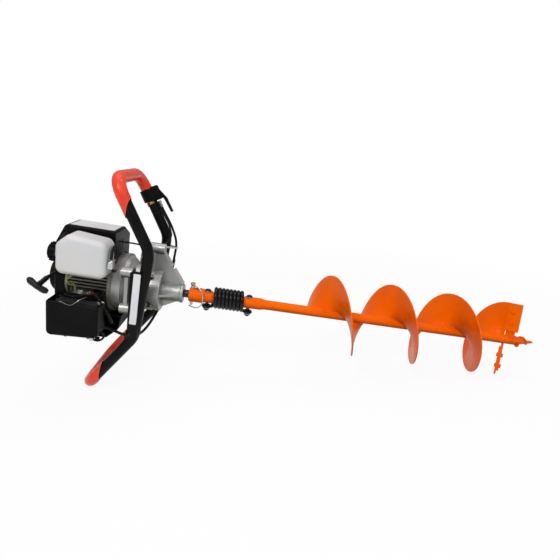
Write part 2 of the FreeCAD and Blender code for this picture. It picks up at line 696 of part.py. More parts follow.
def gear_shape(teeth, module, width, face, centre, bore, toothed_at):
    """Spur gear round an axis parallel to X; one tooth (or gap) points to `toothed_at` degrees."""
    pressure = math.radians(25)
    pitch_radius = teeth * module / 2
    base = pitch_radius * math.cos(pressure)
    tip = pitch_radius + 0.8 * module
    root = pitch_radius - 1.05 * module
    half = math.pi / 2 / teeth - size["backlash"] / 4 / pitch_radius + math.tan(pressure) - pressure
    flank = [max(base, root), (max(base, root) + tip) / 2, tip]
    corners = []
    for i in range(teeth):
        middle = math.radians(toothed_at) + 2 * math.pi * i / teeth
        angles = []
        for radius in flank:
            slope = math.acos(base / radius)
            angles.append(half - (math.tan(slope) - slope))
        rising = [(root, angles[0])] + list(zip(flank, angles))
        corners += [(r, middle - a) for r, a in rising] + [(r, middle + a) for r, a in reversed(rising)]
    back = Vector(face - width, *centre)
    points = [back + Vector(0, r * math.cos(a), r * math.sin(a)) for r, a in corners]
    blank = Part.Face(Part.makePolygon(points + points[:1])).extrude(Vector(width, 0, 0))
    if bore:
        blank = blank.cut(Part.makeCylinder(bore, width, back, Vector(1, 0, 0)))
    return blank


def make_gears():
    """Two reductions: pinion to layshaft gear, layshaft pinion to output gear."""
    lay = (val(LAY_ACROSS), val(LAY_UP))
    engine = (0, size["engine_rise"])
    outward = math.degrees(math.atan2(lay[1], lay[0]))
    inward = math.degrees(math.atan2(engine[1] - lay[1], engine[0] - lay[0]))
    half_gap = 180 / size["output_teeth"]
    new_feature("output_gear", gear_shape(
        int(size["output_teeth"]), size["output_module"], size["output_gear_width"],
        val(GEAR_FACE), (0, 0), size["shaft_radius"], outward + half_gap))
    body_radius = size["lay_radius"] + size["journal_step"]
    new_feature("layshaft_gear", gear_shape(
        int(size["lay_gear_teeth"]), size["input_module"], size["input_gear_width"],
        val(INPUT_FACE), lay, body_radius, inward))
    pinion = gear_shape(int(size["lay_pinion_teeth"]), size["output_module"], size["output_gear_width"],
                        val(GEAR_FACE), lay, 0, outward + 180)
    right = val(DRUM_FACE) - size["face_wall"]
    left = val(DRUM_BACK)
    core = Part.makeCylinder(body_radius, right - left - 2, Vector(left + 1, *lay), Vector(1, 0, 0))
    reach = size["small_bearing_width"] - 0.5
    journal = Part.makeCylinder(size["lay_radius"], right - left + 2 * reach,
                                Vector(left - reach, *lay), Vector(1, 0, 0))
    new_feature("layshaft", pinion.fuse([core, journal]))
    half_gap = 180 / size["input_teeth"]
    pinion = gear_shape(int(size["input_teeth"]), size["input_module"], size["input_gear_width"],
                        val(INPUT_FACE), engine, 0, inward + 180 + half_gap)
    end = val(DRUM_WEB) - size["clutch_wall"]
    journal = Part.makeCylinder(size["lay_radius"], val(INPUT_BACK) - end + 1,
                                Vector(end, *engine), Vector(1, 0, 0))
    new_feature("pinion_shaft", pinion.fuse(journal))


def bearing(body, start, centre, outer, width, bore):
    """A ring with shallow grooves between its races; `centre` is across and up."""
    groove = f"{width} * 0.08"
    middle = f"({outer} + {bore}) / 2"
    race = f"({outer} - {bore}) * 0.18"
    corners = [(start, bore), (f"{start} + {width}", bore), (f"{start} + {width}", f"{middle} - {race}"),
               (f"{start} + {width} - {groove}", f"{middle} - {race}"),
               (f"{start} + {width} - {groove}", f"{middle} + {race}"),
               (f"{start} + {width}", f"{middle} + {race}"), (f"{start} + {width}", outer), (start, outer)]
    spin(body, [corners], at=(0, centre[1], f"-{centre[0]}" if centre[0] else 0))


def make_bearings():
    """Ball bearings of the output shaft, the two small shafts and the crankshaft, and the seal."""
    body = new_body("bearings")
    fit = "shaft_radius + running_gap"
    for start in (f"{DRUM_FACE} - face_wall", f"{NOSE_FACE} - 8 - shaft_bearing_width"):
        bearing(body, start, (0, 0), "shaft_bearing", "shaft_bearing_width", fit)
    fit = "lay_radius + running_gap"
    lay = (LAY_ACROSS, LAY_UP)
    engine = (0, "engine_rise")
    for start, centre in ((f"{DRUM_FACE} - face_wall", lay),
                          (f"{DRUM_BACK} - small_bearing_width", lay),
                          (f"{DRUM_BACK} - small_bearing_width", engine),
                          (HUB_BACK, engine)):
        bearing(body, start, centre, "small_bearing", "small_bearing_width", fit)
    fit = "crank_radius + running_gap"
    for start in (f"{CHAMBER_BACK} + chamber_length", f"{CHAMBER_BACK} - crank_bearing_width"):
        bearing(body, start, engine, "crank_bearing", "crank_bearing_width", fit)
    body = new_body("output_seal")
    fit = "shaft_radius + running_gap"
    spin(body, [rectangle(f"{NOSE_FACE} - 7", fit, f"{NOSE_FACE} - 1", "shaft_bearing")])


# ---- Gearbox castings ----

def screw_ears(body, start, length, radius, work=pad):
    """Six screw positions: four round the drum and two round the bulge."""
    places = [(0, 0, "drum_radius", degrees) for degrees in (60, 128, 212, 275)]
    places += [(LAY_ACROSS, LAY_UP, "bulge_radius", degrees) for degrees in (48, -62)]
    for across, up, rim, degrees in places:
        turn = math.radians(degrees)
        spot = (f"{across} + ({rim} + 3.6) * {round(math.cos(turn), 5)}",
                f"{up} + ({rim} + 3.6) * {round(math.sin(turn), 5)}")
        work(body, "YZ", [(*spot, radius)], start, length)


def make_gearbox_housing():
    """Nose, drum and top boss cast in one piece, with a banded rib from the boss to the nose."""
    body = new_body("gearbox_housing")
    inside = f"({DRUM_FACE} - face_wall)"
    pad(body, "YZ", [(0, 0, "drum_radius")], DRUM_BACK, "drum_depth")
    pad(body, "YZ", [(0, 0, "drum_radius + drum_rim")], f"{DRUM_FACE} - 12", 12)
    soften(body, 3, lambda edge: edge.BoundBox.XMin > val(DRUM_FACE) - 0.1)
    pad(body, "YZ", [(LAY_ACROSS, LAY_UP, "bulge_radius")], DRUM_BACK, "bulge_depth")
    spin(body, [[(inside, 0), (inside, "nose_radius + 2"), (f"{NOSE_FACE} - 8", "nose_radius"),
                 (f"{NOSE_FACE} - 6", "nose_rim"), (f"{NOSE_FACE} - 1.5", "nose_rim"),
                 (NOSE_FACE, "nose_rim - 1.5"), (NOSE_FACE, 0)]])
    gusset = [(inside, 0), (inside, "drum_radius - 6"), (DRUM_FACE, "drum_radius - 6"),
              (f"{NOSE_FACE} - 12", "nose_radius - 1"), (f"{NOSE_FACE} - 12", 0)]
    first = pad(body, "XZ", [gusset], 0, "rib_thick", middle=True)
    ring_array(body, first, 4, first.Profile[0], "H_Axis")
    screw_ears(body, DRUM_BACK, "drum_depth * 0.45", "ear_size")
    screw_ears(body, f"{DRUM_BACK} - 1", "drum_depth * 0.45 + 2", "screw_radius", cut)
    screw_ears(body, f"{DRUM_BACK} + drum_depth * 0.45", "drum_depth * 0.2", "screw_radius * 1.7 + 0.3",
               cut)
    post = "(rib_band / 2 + 1)"
    pad(body, "YZ", [rectangle(f"-{post}", 0, post, "boss_height")],
        f"{DRUM_BACK} + 8", 14)
    pad(body, "YZ", [(0, "boss_height", "boss_radius")], f"{DRUM_BACK} + 8", "boss_length")
    high = (f"({DRUM_BACK} + boss_length + 2)", "(boss_height - 5)")
    low = (f"({NOSE_FACE} - 5)", "(nose_rim - 1)")
    rib = [(f"{DRUM_BACK} + 10", 0), (f"{DRUM_BACK} + 10", "boss_height - 5"), high, low, (low[0], 0)]
    pad(body, "XZ", [rib], 0, "rib_thick", middle=True)
    middle = (f"({high[0]} + {low[0]}) / 2", f"({high[1]} + {low[1]}) / 2")
    for begin, end in ((high, (f"{middle[0]} - 3", f"{middle[1]} + 3.5")),
                       ((f"{middle[0]} + 3", f"{middle[1]} - 3.5"), low)):
        band = [begin, end, (f"{end[0]} + 3.5", f"{end[1]} + 3"), (f"{begin[0]} + 3.5", f"{begin[1]} + 3")]
        pad(body, "XZ", [band], 0, "rib_band", middle=True)
    cut(body, "YZ", [(0, 0, "drum_radius - cast_wall")], DRUM_BACK, "drum_depth - face_wall")
    cut(body, "YZ", [(LAY_ACROSS, LAY_UP, "bulge_radius - cast_wall")], DRUM_BACK,
        "bulge_depth - cast_wall")
    spin(body, [rectangle(f"{inside} - 1", 0, f"{NOSE_FACE} - 1", "shaft_bearing")],
         groove=True)
    cut(body, "YZ", [(0, 0, "shaft_radius + 1")], f"{NOSE_FACE} - 2", 4)
    cut(body, "YZ", [(LAY_ACROSS, LAY_UP, "small_bearing")], inside, "small_bearing_width")
    cut(body, "YZ", [(0, "boss_height", "screw_radius + 1")], f"{DRUM_BACK} + 7", "boss_length + 2")


def make_gearbox_cover():
    """The plate that closes the drum and carries the inner ends of both small shafts."""
    body = new_body("gearbox_cover")
    pad(body, "YZ", [(0, 0, "drum_radius")], COVER_BACK, "face_wall")
    pad(body, "YZ", [(LAY_ACROSS, LAY_UP, "bulge_radius")], COVER_BACK, "face_wall")
    screw_ears(body, COVER_BACK, "face_wall", "ear_size")
    pad(body, "YZ", [(0, "engine_rise", "hub_radius")], HUB_BACK, "hub_length")
    seat = (f"{DRUM_BACK} - small_bearing_width", "small_bearing_width + 1")
    cut(body, "YZ", [(0, "engine_rise", "small_bearing")], *seat)
    cut(body, "YZ", [(LAY_ACROSS, LAY_UP, "small_bearing")], *seat)
    cut(body, "YZ", [(0, "engine_rise", "small_bearing")], HUB_BACK, "small_bearing_width")
    cut(body, "YZ", [(0, "engine_rise", "small_bearing - 4")], HUB_BACK, "hub_length + face_wall")
    screw_ears(body, f"{COVER_BACK} - 1", "face_wall + 2", "screw_radius", cut)


def make_screws():
    """The M6 screws: six round the gearbox, four through the ears of the handle mounts."""
    body = new_body("m6_screws")
    screw_ears(body, f"{DRUM_BACK} + drum_depth * 0.45", 5, "screw_radius * 1.7")
    screw_ears(body, f"{COVER_BACK} + 1", "face_wall - 1 + drum_depth * 0.45", "screw_radius")
    for side in (-1, 1):
        for height in ("ear_top", "ear_low"):
            across = f"{side} * ear_half"
            pad(body, "YZ", [(across, height, "screw_radius")], f"{EAR_END} - ear_length * 0.8",
                "ear_length * 0.8 + bracket_thick")
            pad(body, "YZ", [(across, height, "screw_radius * 1.7")], f"{EAR_END} + bracket_thick", 4)


# ---- Clutch ----

def bell_outline(inner, lip=0):
    """Outer line of the clutch housing from its cover to the crankcase, `inner` less.

    `lip` is the height of the flange round its widest part.
    """
    line = [(0, "drum_radius"), (0.2, "drum_radius + 1"), (0.45, "bell_radius * 0.88"),
            (0.6, "bell_radius * 0.94"),
            (0.6, f"bell_radius * 0.94 + {lip}"), (0.78, f"bell_radius * 0.94 + {lip}"),
            (0.78, "bell_radius * 0.96"), (1, "bell_radius * 0.96")]
    if not lip:
        line = line[:4] + line[-1:]
    return [(f"{COVER_BACK} - bell_length * {share}", f"{radius} - {inner}") for share, radius in line]


def make_clutch_housing():
    body = new_body("clutch_housing")
    inner = bell_outline("cast_wall")
    inner[0] = (f"{COVER_BACK} - cast_wall", inner[0][1])
    spin(body, [[(COVER_BACK, "hub_radius + 0.5")] + bell_outline(0, 4) + inner[::-1]
                + [(f"{COVER_BACK} - cast_wall", "hub_radius + 0.5")]], at=(0, "engine_rise", 0))


def make_clutch():
    """Steel drum on the pinion shaft; hub and shoes on the crankshaft swing out into it."""
    drum = new_body("clutch_drum")
    spin(drum, [[(DRUM_WEB, "lay_radius"), (DRUM_WEB, "clutch_radius"),
                 (f"{DRUM_WEB} - clutch_depth", "clutch_radius"),
                 (f"{DRUM_WEB} - clutch_depth", "clutch_radius - clutch_wall"),
                 (f"{DRUM_WEB} - clutch_wall", "clutch_radius - clutch_wall"),
                 (f"{DRUM_WEB} - clutch_wall", "lay_radius")]], at=(0, "engine_rise", 0))
    shoes = new_body("clutch_hub_and_shoes")
    right = f"({CRANK_END} - 1)"
    left = f"({DRUM_WEB} - clutch_depth + 2)"
    rim = "clutch_radius - clutch_wall - shoe_gap"
    spin(shoes, [[(right, "crank_radius * 2"), (right, rim), (left, rim), (left, "crank_radius * 2")]],
         at=(0, "engine_rise", 0))
    slot = rectangle(0, -3, "clutch_radius", 3)
    gap = cut(shoes, "YZ", [slot], f"{left} - 1", "clutch_depth", (0, "engine_rise"))
    ring_array(shoes, gap, 3, gap.Profile[0])
    spin(shoes, [[(right, "crank_radius - 1"), (right, "crank_radius * 2 - 0.5"),
                  (left, "crank_radius * 2 - 0.5"), (left, "crank_radius - 1")]], at=(0, "engine_rise", 0))


# ---- Engine: crankcase, crankshaft, fan, cylinder and exhaust ----

def make_crankcase():
    """Casting with a flange for the clutch housing, one for the starter and a shelf for the tank."""
    body = new_body("crankcase")
    chamber_front = f"({CHAMBER_BACK} + chamber_length)"
    spin(body, [[
        (BELL_BACK, "crank_bearing"), (BELL_BACK, "bell_radius"),
        (f"{BELL_BACK} - flange_thick", "bell_radius"),
        (f"{BELL_BACK} - flange_thick", "case_radius"),
        (f"{CASE_BACK} + 5", "case_radius"), (f"{CASE_BACK} + 5", "starter_radius"),
        (CASE_BACK, "starter_radius"), (CASE_BACK, "crank_bearing"),
        (CHAMBER_BACK, "crank_bearing"), (CHAMBER_BACK, "chamber_radius"),
        (chamber_front, "chamber_radius"), (chamber_front, "crank_bearing"),
    ]], at=(0, "engine_rise", 0))
    shelf = rectangle("tank_right - shelf_long - 16", "tank_front + 22", "tank_right - 16", 0)
    pad(body, "XY", [shelf], "tank_floor - tank_seat - shelf_thick", "shelf_thick")
    rib = rectangle(f"{CASE_BACK} + 5", "-case_radius - 18", f"{BELL_BACK} - flange_thick",
                    "-case_radius * 0.5")
    first = pad(body, "XY", [rib], "case_radius - 4", 3)
    row_array(body, first, 5, 32, first.Profile[0], "N_Axis").Reversed = True
    spin(body, [[(CHAMBER_BACK, 0), (CHAMBER_BACK, "chamber_radius"),
                 (chamber_front, "chamber_radius"), (chamber_front, 0)]], at=(0, "engine_rise", 0),
                 groove=True)


def make_crankshaft():
    body = new_body("crankshaft")
    right = f"({CHAMBER_BACK} + chamber_length - 3)"
    left = f"({CHAMBER_BACK} + 3)"
    web = "chamber_length * 0.23"
    spin(body, [
        [(CRANK_END, 0), (CRANK_END, "crank_radius - 1"), (BELL_BACK, "crank_radius - 1"),
         (BELL_BACK, "crank_radius"), (right, "crank_radius"), (right, "chamber_radius - 3"),
         (f"{right} - {web}", "chamber_radius - 3"), (f"{right} - {web}", 0)],
        [(f"{left} + {web}", 0), (f"{left} + {web}", "chamber_radius - 3"), (left, "chamber_radius - 3"),
         (left, "crank_radius"), (f"{STARTER_BACK} + 4", "crank_radius"), (f"{STARTER_BACK} + 4", 0)],
    ], at=(0, "engine_rise", 0))
    pad(body, "YZ", [("crank_throw", "engine_rise", "crank_radius")], f"{left} + {web}",
        f"chamber_length - 6 - 2 * {web}")


def make_flywheel():
    """Flywheel with cast fan blades, between the crankcase and the starter."""
    body = new_body("flywheel_fan")
    face = f"({CASE_BACK} - 4)"
    spin(body, [[(face, "crank_radius"), (face, "fan_radius"), (f"{face} - 5", "fan_radius"),
                 (f"{face} - 5", "crank_radius * 2"), (f"{face} - 16", "crank_radius * 2"),
                 (f"{face} - 16", "crank_radius")]], at=(0, "engine_rise", 0))
    blade = rectangle("crank_radius * 2 - 1", -1.2, "fan_radius", 1.2)
    first = pad(body, "YZ", [blade], f"{face} - 16", 12, (0, "engine_rise"))
    ring_array(body, first, "fan_blades", first.Profile[0])


def make_cylinder():
    """Finned cylinder hanging from the crankcase, with its inlet port to the front."""
    body = new_body("cylinder")
    sheet_of_metal = rectangle("-fin_long", "-fin_half", "fin_long", "fin_half")
    run = "(fin_step * (fin_count - 1))"
    pad(body, "XY", [(CYLINDER_PLACE, 0, "cylinder_radius")], f"fin_first - {run} - 8",
        f"{run} + 8 + fin_thick")
    fin = pad(body, "XY", [sheet_of_metal], "fin_first", "fin_thick", (CYLINDER_PLACE, 0))
    soften(body, 7, along((0, 0, 1)))
    fin_round = body.Tip
    row = row_array(body, fin, "fin_count", run, fin.Profile[0], "N_Axis")
    row.Originals = [fin, fin_round]
    row.Reversed = True
    port = rectangle("-carb_half", -14, "carb_half", 14)
    pad(body, "XZ", [port, (0, 0, "port_radius")], "cylinder_radius - 6", "fin_half - cylinder_radius + 6",
        (CYLINDER_PLACE, "port_height"))
    spin(body, [[(f"{BELL_BACK} - flange_thick", 0), (f"{BELL_BACK} - flange_thick", "case_radius"),
                 (CASE_BACK, "case_radius"), (CASE_BACK, 0)]], at=(0, "engine_rise", 0), groove=True)
    cut(body, "XY", [(CYLINDER_PLACE, 0, "plug_seat")], f"{HEAD_FACE} - 1", 9)


def make_spark_plug():
    """Plug screwed into the head from below, and the rubber cap on it."""
    body = new_body("spark_plug")
    spin(body, [[(0, f"{HEAD_FACE} + 8"), ("plug_seat", f"{HEAD_FACE} + 8"), ("plug_seat", HEAD_FACE),
                 ("plug_body", HEAD_FACE), ("plug_body", f"{HEAD_FACE} - 7"),
                 ("plug_body * 0.6", f"{HEAD_FACE} - 9"), ("plug_body * 0.5", f"{HEAD_FACE} - 20"),
                 (0, f"{HEAD_FACE} - 20")]], at=(CYLINDER_PLACE, 0, 0), axis="V_Axis")
    spin(body, [[("plug_body * 0.6", f"{HEAD_FACE} - 9"), ("plug_body * 1.05", f"{HEAD_FACE} - 9"),
                ("plug_body * 0.85", f"{HEAD_FACE} - 25"), (0, f"{HEAD_FACE} - 25"),
                (0, f"{HEAD_FACE} - 20"), ("plug_body * 0.5", f"{HEAD_FACE} - 20")]],
         at=(CYLINDER_PLACE, 0, 0), axis="V_Axis")


def make_shroud():
    """Black cooling shroud round the cylinder, open towards the crankcase and at its front."""
    body = new_body("cylinder_shroud")
    left = f"({CASE_BACK} + 0.5)"
    right = f"({COVER_BACK} - 34)"
    top = "(-bell_radius * 0.93)"
    floor = f"({HEAD_FACE} - 30)"
    under = f"({BELL_BACK} - flange_thick - 1.5)"
    outline = [(left, f"{top} + 8"), (left, f"{floor} + 16"), (f"{left} + 16", floor),
               (f"{right} - 34", floor), (f"{right} - 6", f"{floor} + 26"), (right, top),
               (under, top), (under, f"{top} + 8")]
    pad(body, "XZ", [outline], "-fin_half - 20", "2 * fin_half + 22")
    soften(body, 8, lambda edge: along((0, 1, 0))(edge) and edge.BoundBox.ZMax < val(top) - 10)
    wall = "hood_wall"
    inner = [(f"{left} + {wall}", f"{top} + 20"), (f"{left} + {wall}", f"{floor} + 17"),
             (f"{left} + 17", f"{floor} + {wall}"), (f"{right} - 35", f"{floor} + {wall}"),
             (f"{right} - 6 - {wall}", f"{floor} + 27"), (f"{right} - 1 - {wall}", f"{top} - {wall}"),
             (f"{under} - {wall}", f"{top} - {wall}"), (f"{under} - {wall}", f"{top} + 20")]
    cut(body, "XZ", [inner], "-fin_half - 17.5", "2 * fin_half + 22")


def make_muffler():
    """Pressed box on the far side of the cylinder with a short outlet."""
    body = new_body("muffler")
    deep = "muffler_deep"
    box = rectangle(f"{CYLINDER_PLACE} - fin_long + 2", "muffler_floor",
                    f"{CYLINDER_PLACE} + fin_long - 4", "muffler_floor + muffler_high")
    pad(body, "XZ", [box], f"-fin_half - {deep} - 21", deep)
    soften(body, 8, lambda edge: True)
    pad(body, "XZ", [(CYLINDER_PLACE, "muffler_floor + muffler_high * 0.74", "port_radius + 4")],
        "-fin_half - 22", 22)
    cut(body, "XZ", [(f"{CYLINDER_PLACE} + 12", "muffler_floor + muffler_high * 0.3", 5)],
        f"-fin_half - {deep} - 22", 16)


# ---- Inlet: manifold, carburettor, air filter ----

def make_inlet():
    manifold = new_body("inlet_manifold")
    flange = rectangle("-carb_half + 2", -13, "carb_half - 2", 13)
    at = (CYLINDER_PLACE, "port_height")
    pad(manifold, "XZ", [flange, (0, 0, "port_radius")], "fin_half", "manifold_deep", at)
    soften(manifold, 4, along((0, 1, 0)))
    carb = new_body("carburettor")
    block = rectangle("-carb_half + 3", -11, "carb_half - 3", 11)
    ends = rectangle("-carb_half", -14, "carb_half", 14)
    bore = (0, 0, "port_radius")
    pad(carb, "XZ", [ends, bore], "fin_half + manifold_deep", 4, at)
    pad(carb, "XZ", [block, bore], "fin_half + manifold_deep + 4", "carb_deep - 8", at)
    pad(carb, "XZ", [ends, bore], "fin_half + manifold_deep + carb_deep - 4", 4, at)
    middle = f"{CARB_BACK} - carb_deep / 2"
    pad(carb, "XY", [(CYLINDER_PLACE, middle, "carb_deep * 0.36")], "port_height + 11", 5)
    pad(carb, "XY", [(CYLINDER_PLACE, middle, "carb_deep * 0.4")], "port_height - 21", 10)
    pad(carb, "YZ", [(middle, "port_height", 7)], f"{CYLINDER_PLACE} + carb_half - 3", 3)
    pad(carb, "XY", [(HOSE_PLACE, middle, "hose_radius - 0.4")], "port_height + 10", 8)
    stop = rectangle(f"{CYLINDER_PLACE} + 6", -3.5, "stop_place + 5", 3.5)
    pad(carb, "XY", [stop], "port_height - 21", 3, (0, f"{middle} - throttle_reach"))
    valve = [(middle, "port_height", "valve_radius + running_gap")]
    cut(carb, "YZ", valve, f"{CYLINDER_PLACE} - carb_half - 1", 10)
    cut(carb, "YZ", valve, f"{CYLINDER_PLACE} + carb_half - 9", 10)


def make_primer_and_levers():
    """Primer bulb under the carburettor, choke lever at its left, throttle arm at its right."""
    middle = f"({CARB_BACK} - carb_deep / 2)"
    bulb = new_body("primer_bulb")
    spin(bulb, [[(0, "port_height - 21.3"), ("carb_deep * 0.3", "port_height - 21.3"),
                 ("carb_deep * 0.26", "port_height - 26"), ("carb_deep * 0.15", "port_height - 29"),
                 (0, "port_height - 30")]], plane="XZ", at=(CYLINDER_PLACE, 0, f"-{middle}"), axis="V_Axis")
    at = (middle, "port_height")
    choke = new_body("choke_lever")
    face = f"({CYLINDER_PLACE} - carb_half - 0.5)"
    lever = rectangle(-3, -3, 3, 22)
    pad(choke, "YZ", [(0, 0, 5)], f"{face} - 2.5", 2.5, at)
    pad(choke, "YZ", [lever], f"{face} - 2.5", 2.5, at)
    pad(choke, "YZ", [(0, 0, "valve_radius")], f"{face} - 1", 9, at)
    arm = new_body("throttle_arm")
    face = f"({CYLINDER_PLACE} + carb_half + 0.5)"
    plate = [("-throttle_reach - 3", -3), (3, -4), (3, 4), ("-throttle_reach - 3", 3)]
    pad(arm, "YZ", [plate], face, 2.5, at)
    pad(arm, "YZ", [(0, 0, 5)], face, 2.5, at)
    pad(arm, "YZ", [(0, 0, "valve_radius")], f"{face} - 8", 9, at)
    pad(arm, "YZ", [("-throttle_reach", 0, 2)], face, 6, at)


def make_air_filter():
    """Open-topped box over a flat base; a foam block stands in it."""
    box = new_body("air_filter_box")
    left, floor = "box_left", "box_floor"
    right = "(box_left + box_long)"
    top = "(box_floor + box_high)"
    outline = [(left, floor), (right, f"{floor} + 4"), (right, f"{top} - 6"), (f"{left} + 4", top),
               (left, f"{top} - 6")]
    pad(box, "XZ", [outline], f"-{BOX_BACK}", "box_deep")
    soften(box, 12, lambda edge: along((0, 1, 0))(edge) and edge.BoundBox.ZMax < val(floor) + 6)
    soften(box, 7, lambda edge: edge.BoundBox.YMax < val(BOX_FRONT) + 0.1)
    inside = rectangle(f"{left} + box_wall", f"{BOX_FRONT} + box_wall", f"{right} - box_wall",
                       f"{BOX_BACK} + 1")
    cut(box, "XY", [inside], f"{floor} + box_wall + 4", "box_high")
    notch = [(f"{left} + box_long * 0.3", f"{top} - 9"), (f"{right} - box_long * 0.3", f"{top} - 9"),
             (f"{right} - box_long * 0.22", f"{top} + 9"), (f"{left} + box_long * 0.22", f"{top} + 9")]
    cut(box, "XZ", [notch], f"-{BOX_FRONT} - 8", 9)
    base = new_body("air_filter_base")
    plate = [(f"{left} + 4", f"{floor} + 6"), (f"{right} - 4", f"{floor} + 8"),
             (f"{right} - 4", f"{top} + 3"), (f"{left} + 4", f"{top} + 3")]
    pad(base, "XZ", [plate, (CYLINDER_PLACE, "port_height", "port_radius")], f"-{BOX_BACK} - 0", 4)
    base.Tip.Reversed = True
    foam = new_body("filter_element")
    block = rectangle(f"{left} + 10", f"{floor} + 12", f"{right} - 10", f"{top} - 8")
    pad(foam, "XZ", [block], f"-{BOX_BACK}", "box_deep * 0.45")


# ---- Fuel tank and hood ----

TANK_LEFT = "(tank_right - tank_long)"
TANK_TOP = "(tank_floor + tank_high)"
CAP_HEIGHT = "(tank_floor + tank_high * 0.47)"
CAP_ACROSS = "(tank_front + cap_radius + 4)"


def make_tank():
    """Blow-moulded tank with a broad bevel at its upper left and a filler neck."""
    body = new_body("fuel_tank")
    outline = [(TANK_LEFT, "tank_floor"), ("tank_right", "tank_floor"),
               ("tank_right", f"{TANK_TOP} - 8"), (f"{TANK_LEFT} + 26", TANK_TOP),
               (TANK_LEFT, f"{TANK_TOP} - 24")]
    pad(body, "XZ", [outline], "-tank_front - tank_deep", "tank_deep")
    soften(body, 16, along((0, 1, 0)))
    soften(body, 12, lambda edge: edge.BoundBox.YMax < val("tank_front") + 0.1)
    pad(body, "YZ", [(CAP_ACROSS, CAP_HEIGHT, "neck_radius")], f"{TANK_LEFT} - neck_length",
        "neck_length + 4")
    wall = "tank_wall"
    hollow = [(f"{TANK_LEFT} + 12", f"tank_floor + {wall}"), (f"tank_right - 12", f"tank_floor + {wall}"),
              (f"tank_right - {wall}", "tank_floor + 12"), (f"tank_right - {wall}", f"{TANK_TOP} - 20"),
              (f"tank_right - 12", f"{TANK_TOP} - 12"), (f"{TANK_LEFT} + 28", f"{TANK_TOP} - {wall} - 3"),
              (f"{TANK_LEFT} + {wall} + 1", f"{TANK_TOP} - 30"),
              (f"{TANK_LEFT} + {wall}", "tank_floor + 12")]
    cut(body, "XZ", [hollow], "-tank_front - tank_deep + tank_wall", "tank_deep - tank_wall - 6")
    cut(body, "YZ", [(CAP_ACROSS, CAP_HEIGHT, "neck_radius - 3")], f"{TANK_LEFT} - neck_length - 1",
        "neck_length + 8")
    cap = new_body("fuel_cap")
    face = f"({TANK_LEFT} - 1)"
    spin(cap, [[(face, "neck_radius + cap_gap"), (face, "cap_radius - 1.5"),
                (f"{face} - cap_length + 3", "cap_radius - 2.5"),
                (f"{face} - cap_length", "cap_radius - 5"), (f"{face} - cap_length", 0),
                (f"{face} - cap_length + 4", 0), (f"{face} - cap_length + 4", "neck_radius + cap_gap")]],
         plane="XZ", at=(0, CAP_HEIGHT, f"-{CAP_ACROSS}"))
    rib = rectangle("cap_radius - 4", -1.6, "cap_radius", 1.6)
    first = pad(cap, "YZ", [rib], f"{face} - cap_length + 3", "cap_length - 3", (CAP_ACROSS, CAP_HEIGHT))
    ring_array(cap, first, "cap_ribs", first.Profile[0])


def make_hood():
    """Black hood behind the tank: flat top, bevel at its upper left, open below and in front."""
    body = new_body("engine_hood")
    wall = "hood_wall"
    outline = [("hood_left", "hood_foot"), ("hood_left", "hood_top - hood_drop"),
               ("hood_left + hood_bevel", "hood_top"), ("hood_right", "hood_top"),
               ("hood_right", "hood_foot")]
    pad(body, "XZ", [outline], "-hood_back", "hood_back - hood_front")
    slope = [("hood_back - hood_slope", "hood_top"), ("hood_back + 1", "hood_top + 1"),
             ("hood_back + 1", "hood_top - hood_slope * 0.58")]
    cut(body, "YZ", [slope], "hood_left - 1", "hood_right - hood_left + 2")
    soften(body, 5, lambda edge: edge.Length > 20 and edge.BoundBox.ZMin > val("hood_top") - 30
           and edge.BoundBox.YMax < val("hood_back") + 1)
    inner = [(f"hood_left + {wall}", "hood_foot - 2"), (f"hood_left + {wall}", "hood_top - hood_drop - 1"),
             (f"hood_left + hood_bevel + {wall}", f"hood_top - {wall} - 3"),
             (f"hood_right - {wall} - 6", f"hood_top - {wall}"),
             (f"hood_right - {wall}", f"hood_top - {wall} - 6"),
             (f"hood_right - {wall}", "hood_foot - 2")]
    cut(body, "XZ", [inner], f"hood_slope + {wall} - hood_back",
        f"hood_back - hood_slope - hood_front - 2 * {wall}")
    low = "(hood_top - hood_slope * 0.58 - 3)"
    under = [(f"hood_left + {wall}", "hood_foot - 2"), (f"hood_left + {wall}", "hood_top - hood_drop - 1"),
             (f"hood_left + {wall} + 12", low), (f"hood_right - {wall}", low),
             (f"hood_right - {wall}", "hood_foot - 2")]
    cut(body, "XZ", [under], f"{wall} - hood_back", "hood_slope + 1")
    mouth = [(f"hood_left + {wall}", "hood_foot - 2"), (f"hood_left + {wall}", "hood_top - hood_drop - 6"),
             ("hood_left + hood_bevel - 4", "hood_top - 16"), (f"hood_right - {wall}", "hood_top - 16"),
             (f"hood_right - {wall}", "hood_foot - 2")]
    cut(body, "XZ", [mouth], f"-hood_front - {wall} - 1", f"{wall} + 2")
    cut(body, "YZ", [(0, "engine_rise", "bell_radius + 2")], f"{BELL_BACK} - flange_thick - 2",
        f"hood_right - {BELL_BACK} + flange_thick + 3")
    slot = rectangle(-2.5, -14, 2.5, 14)
    first = cut(body, "YZ", [slot], f"hood_right - {wall} - 1", f"{wall} + 2",
                ("hood_front + 10", "hood_top - 38"))
    row_array(body, first, 4, 42, first.Profile[0], "H_Axis")


# ---- Recoil starter ----

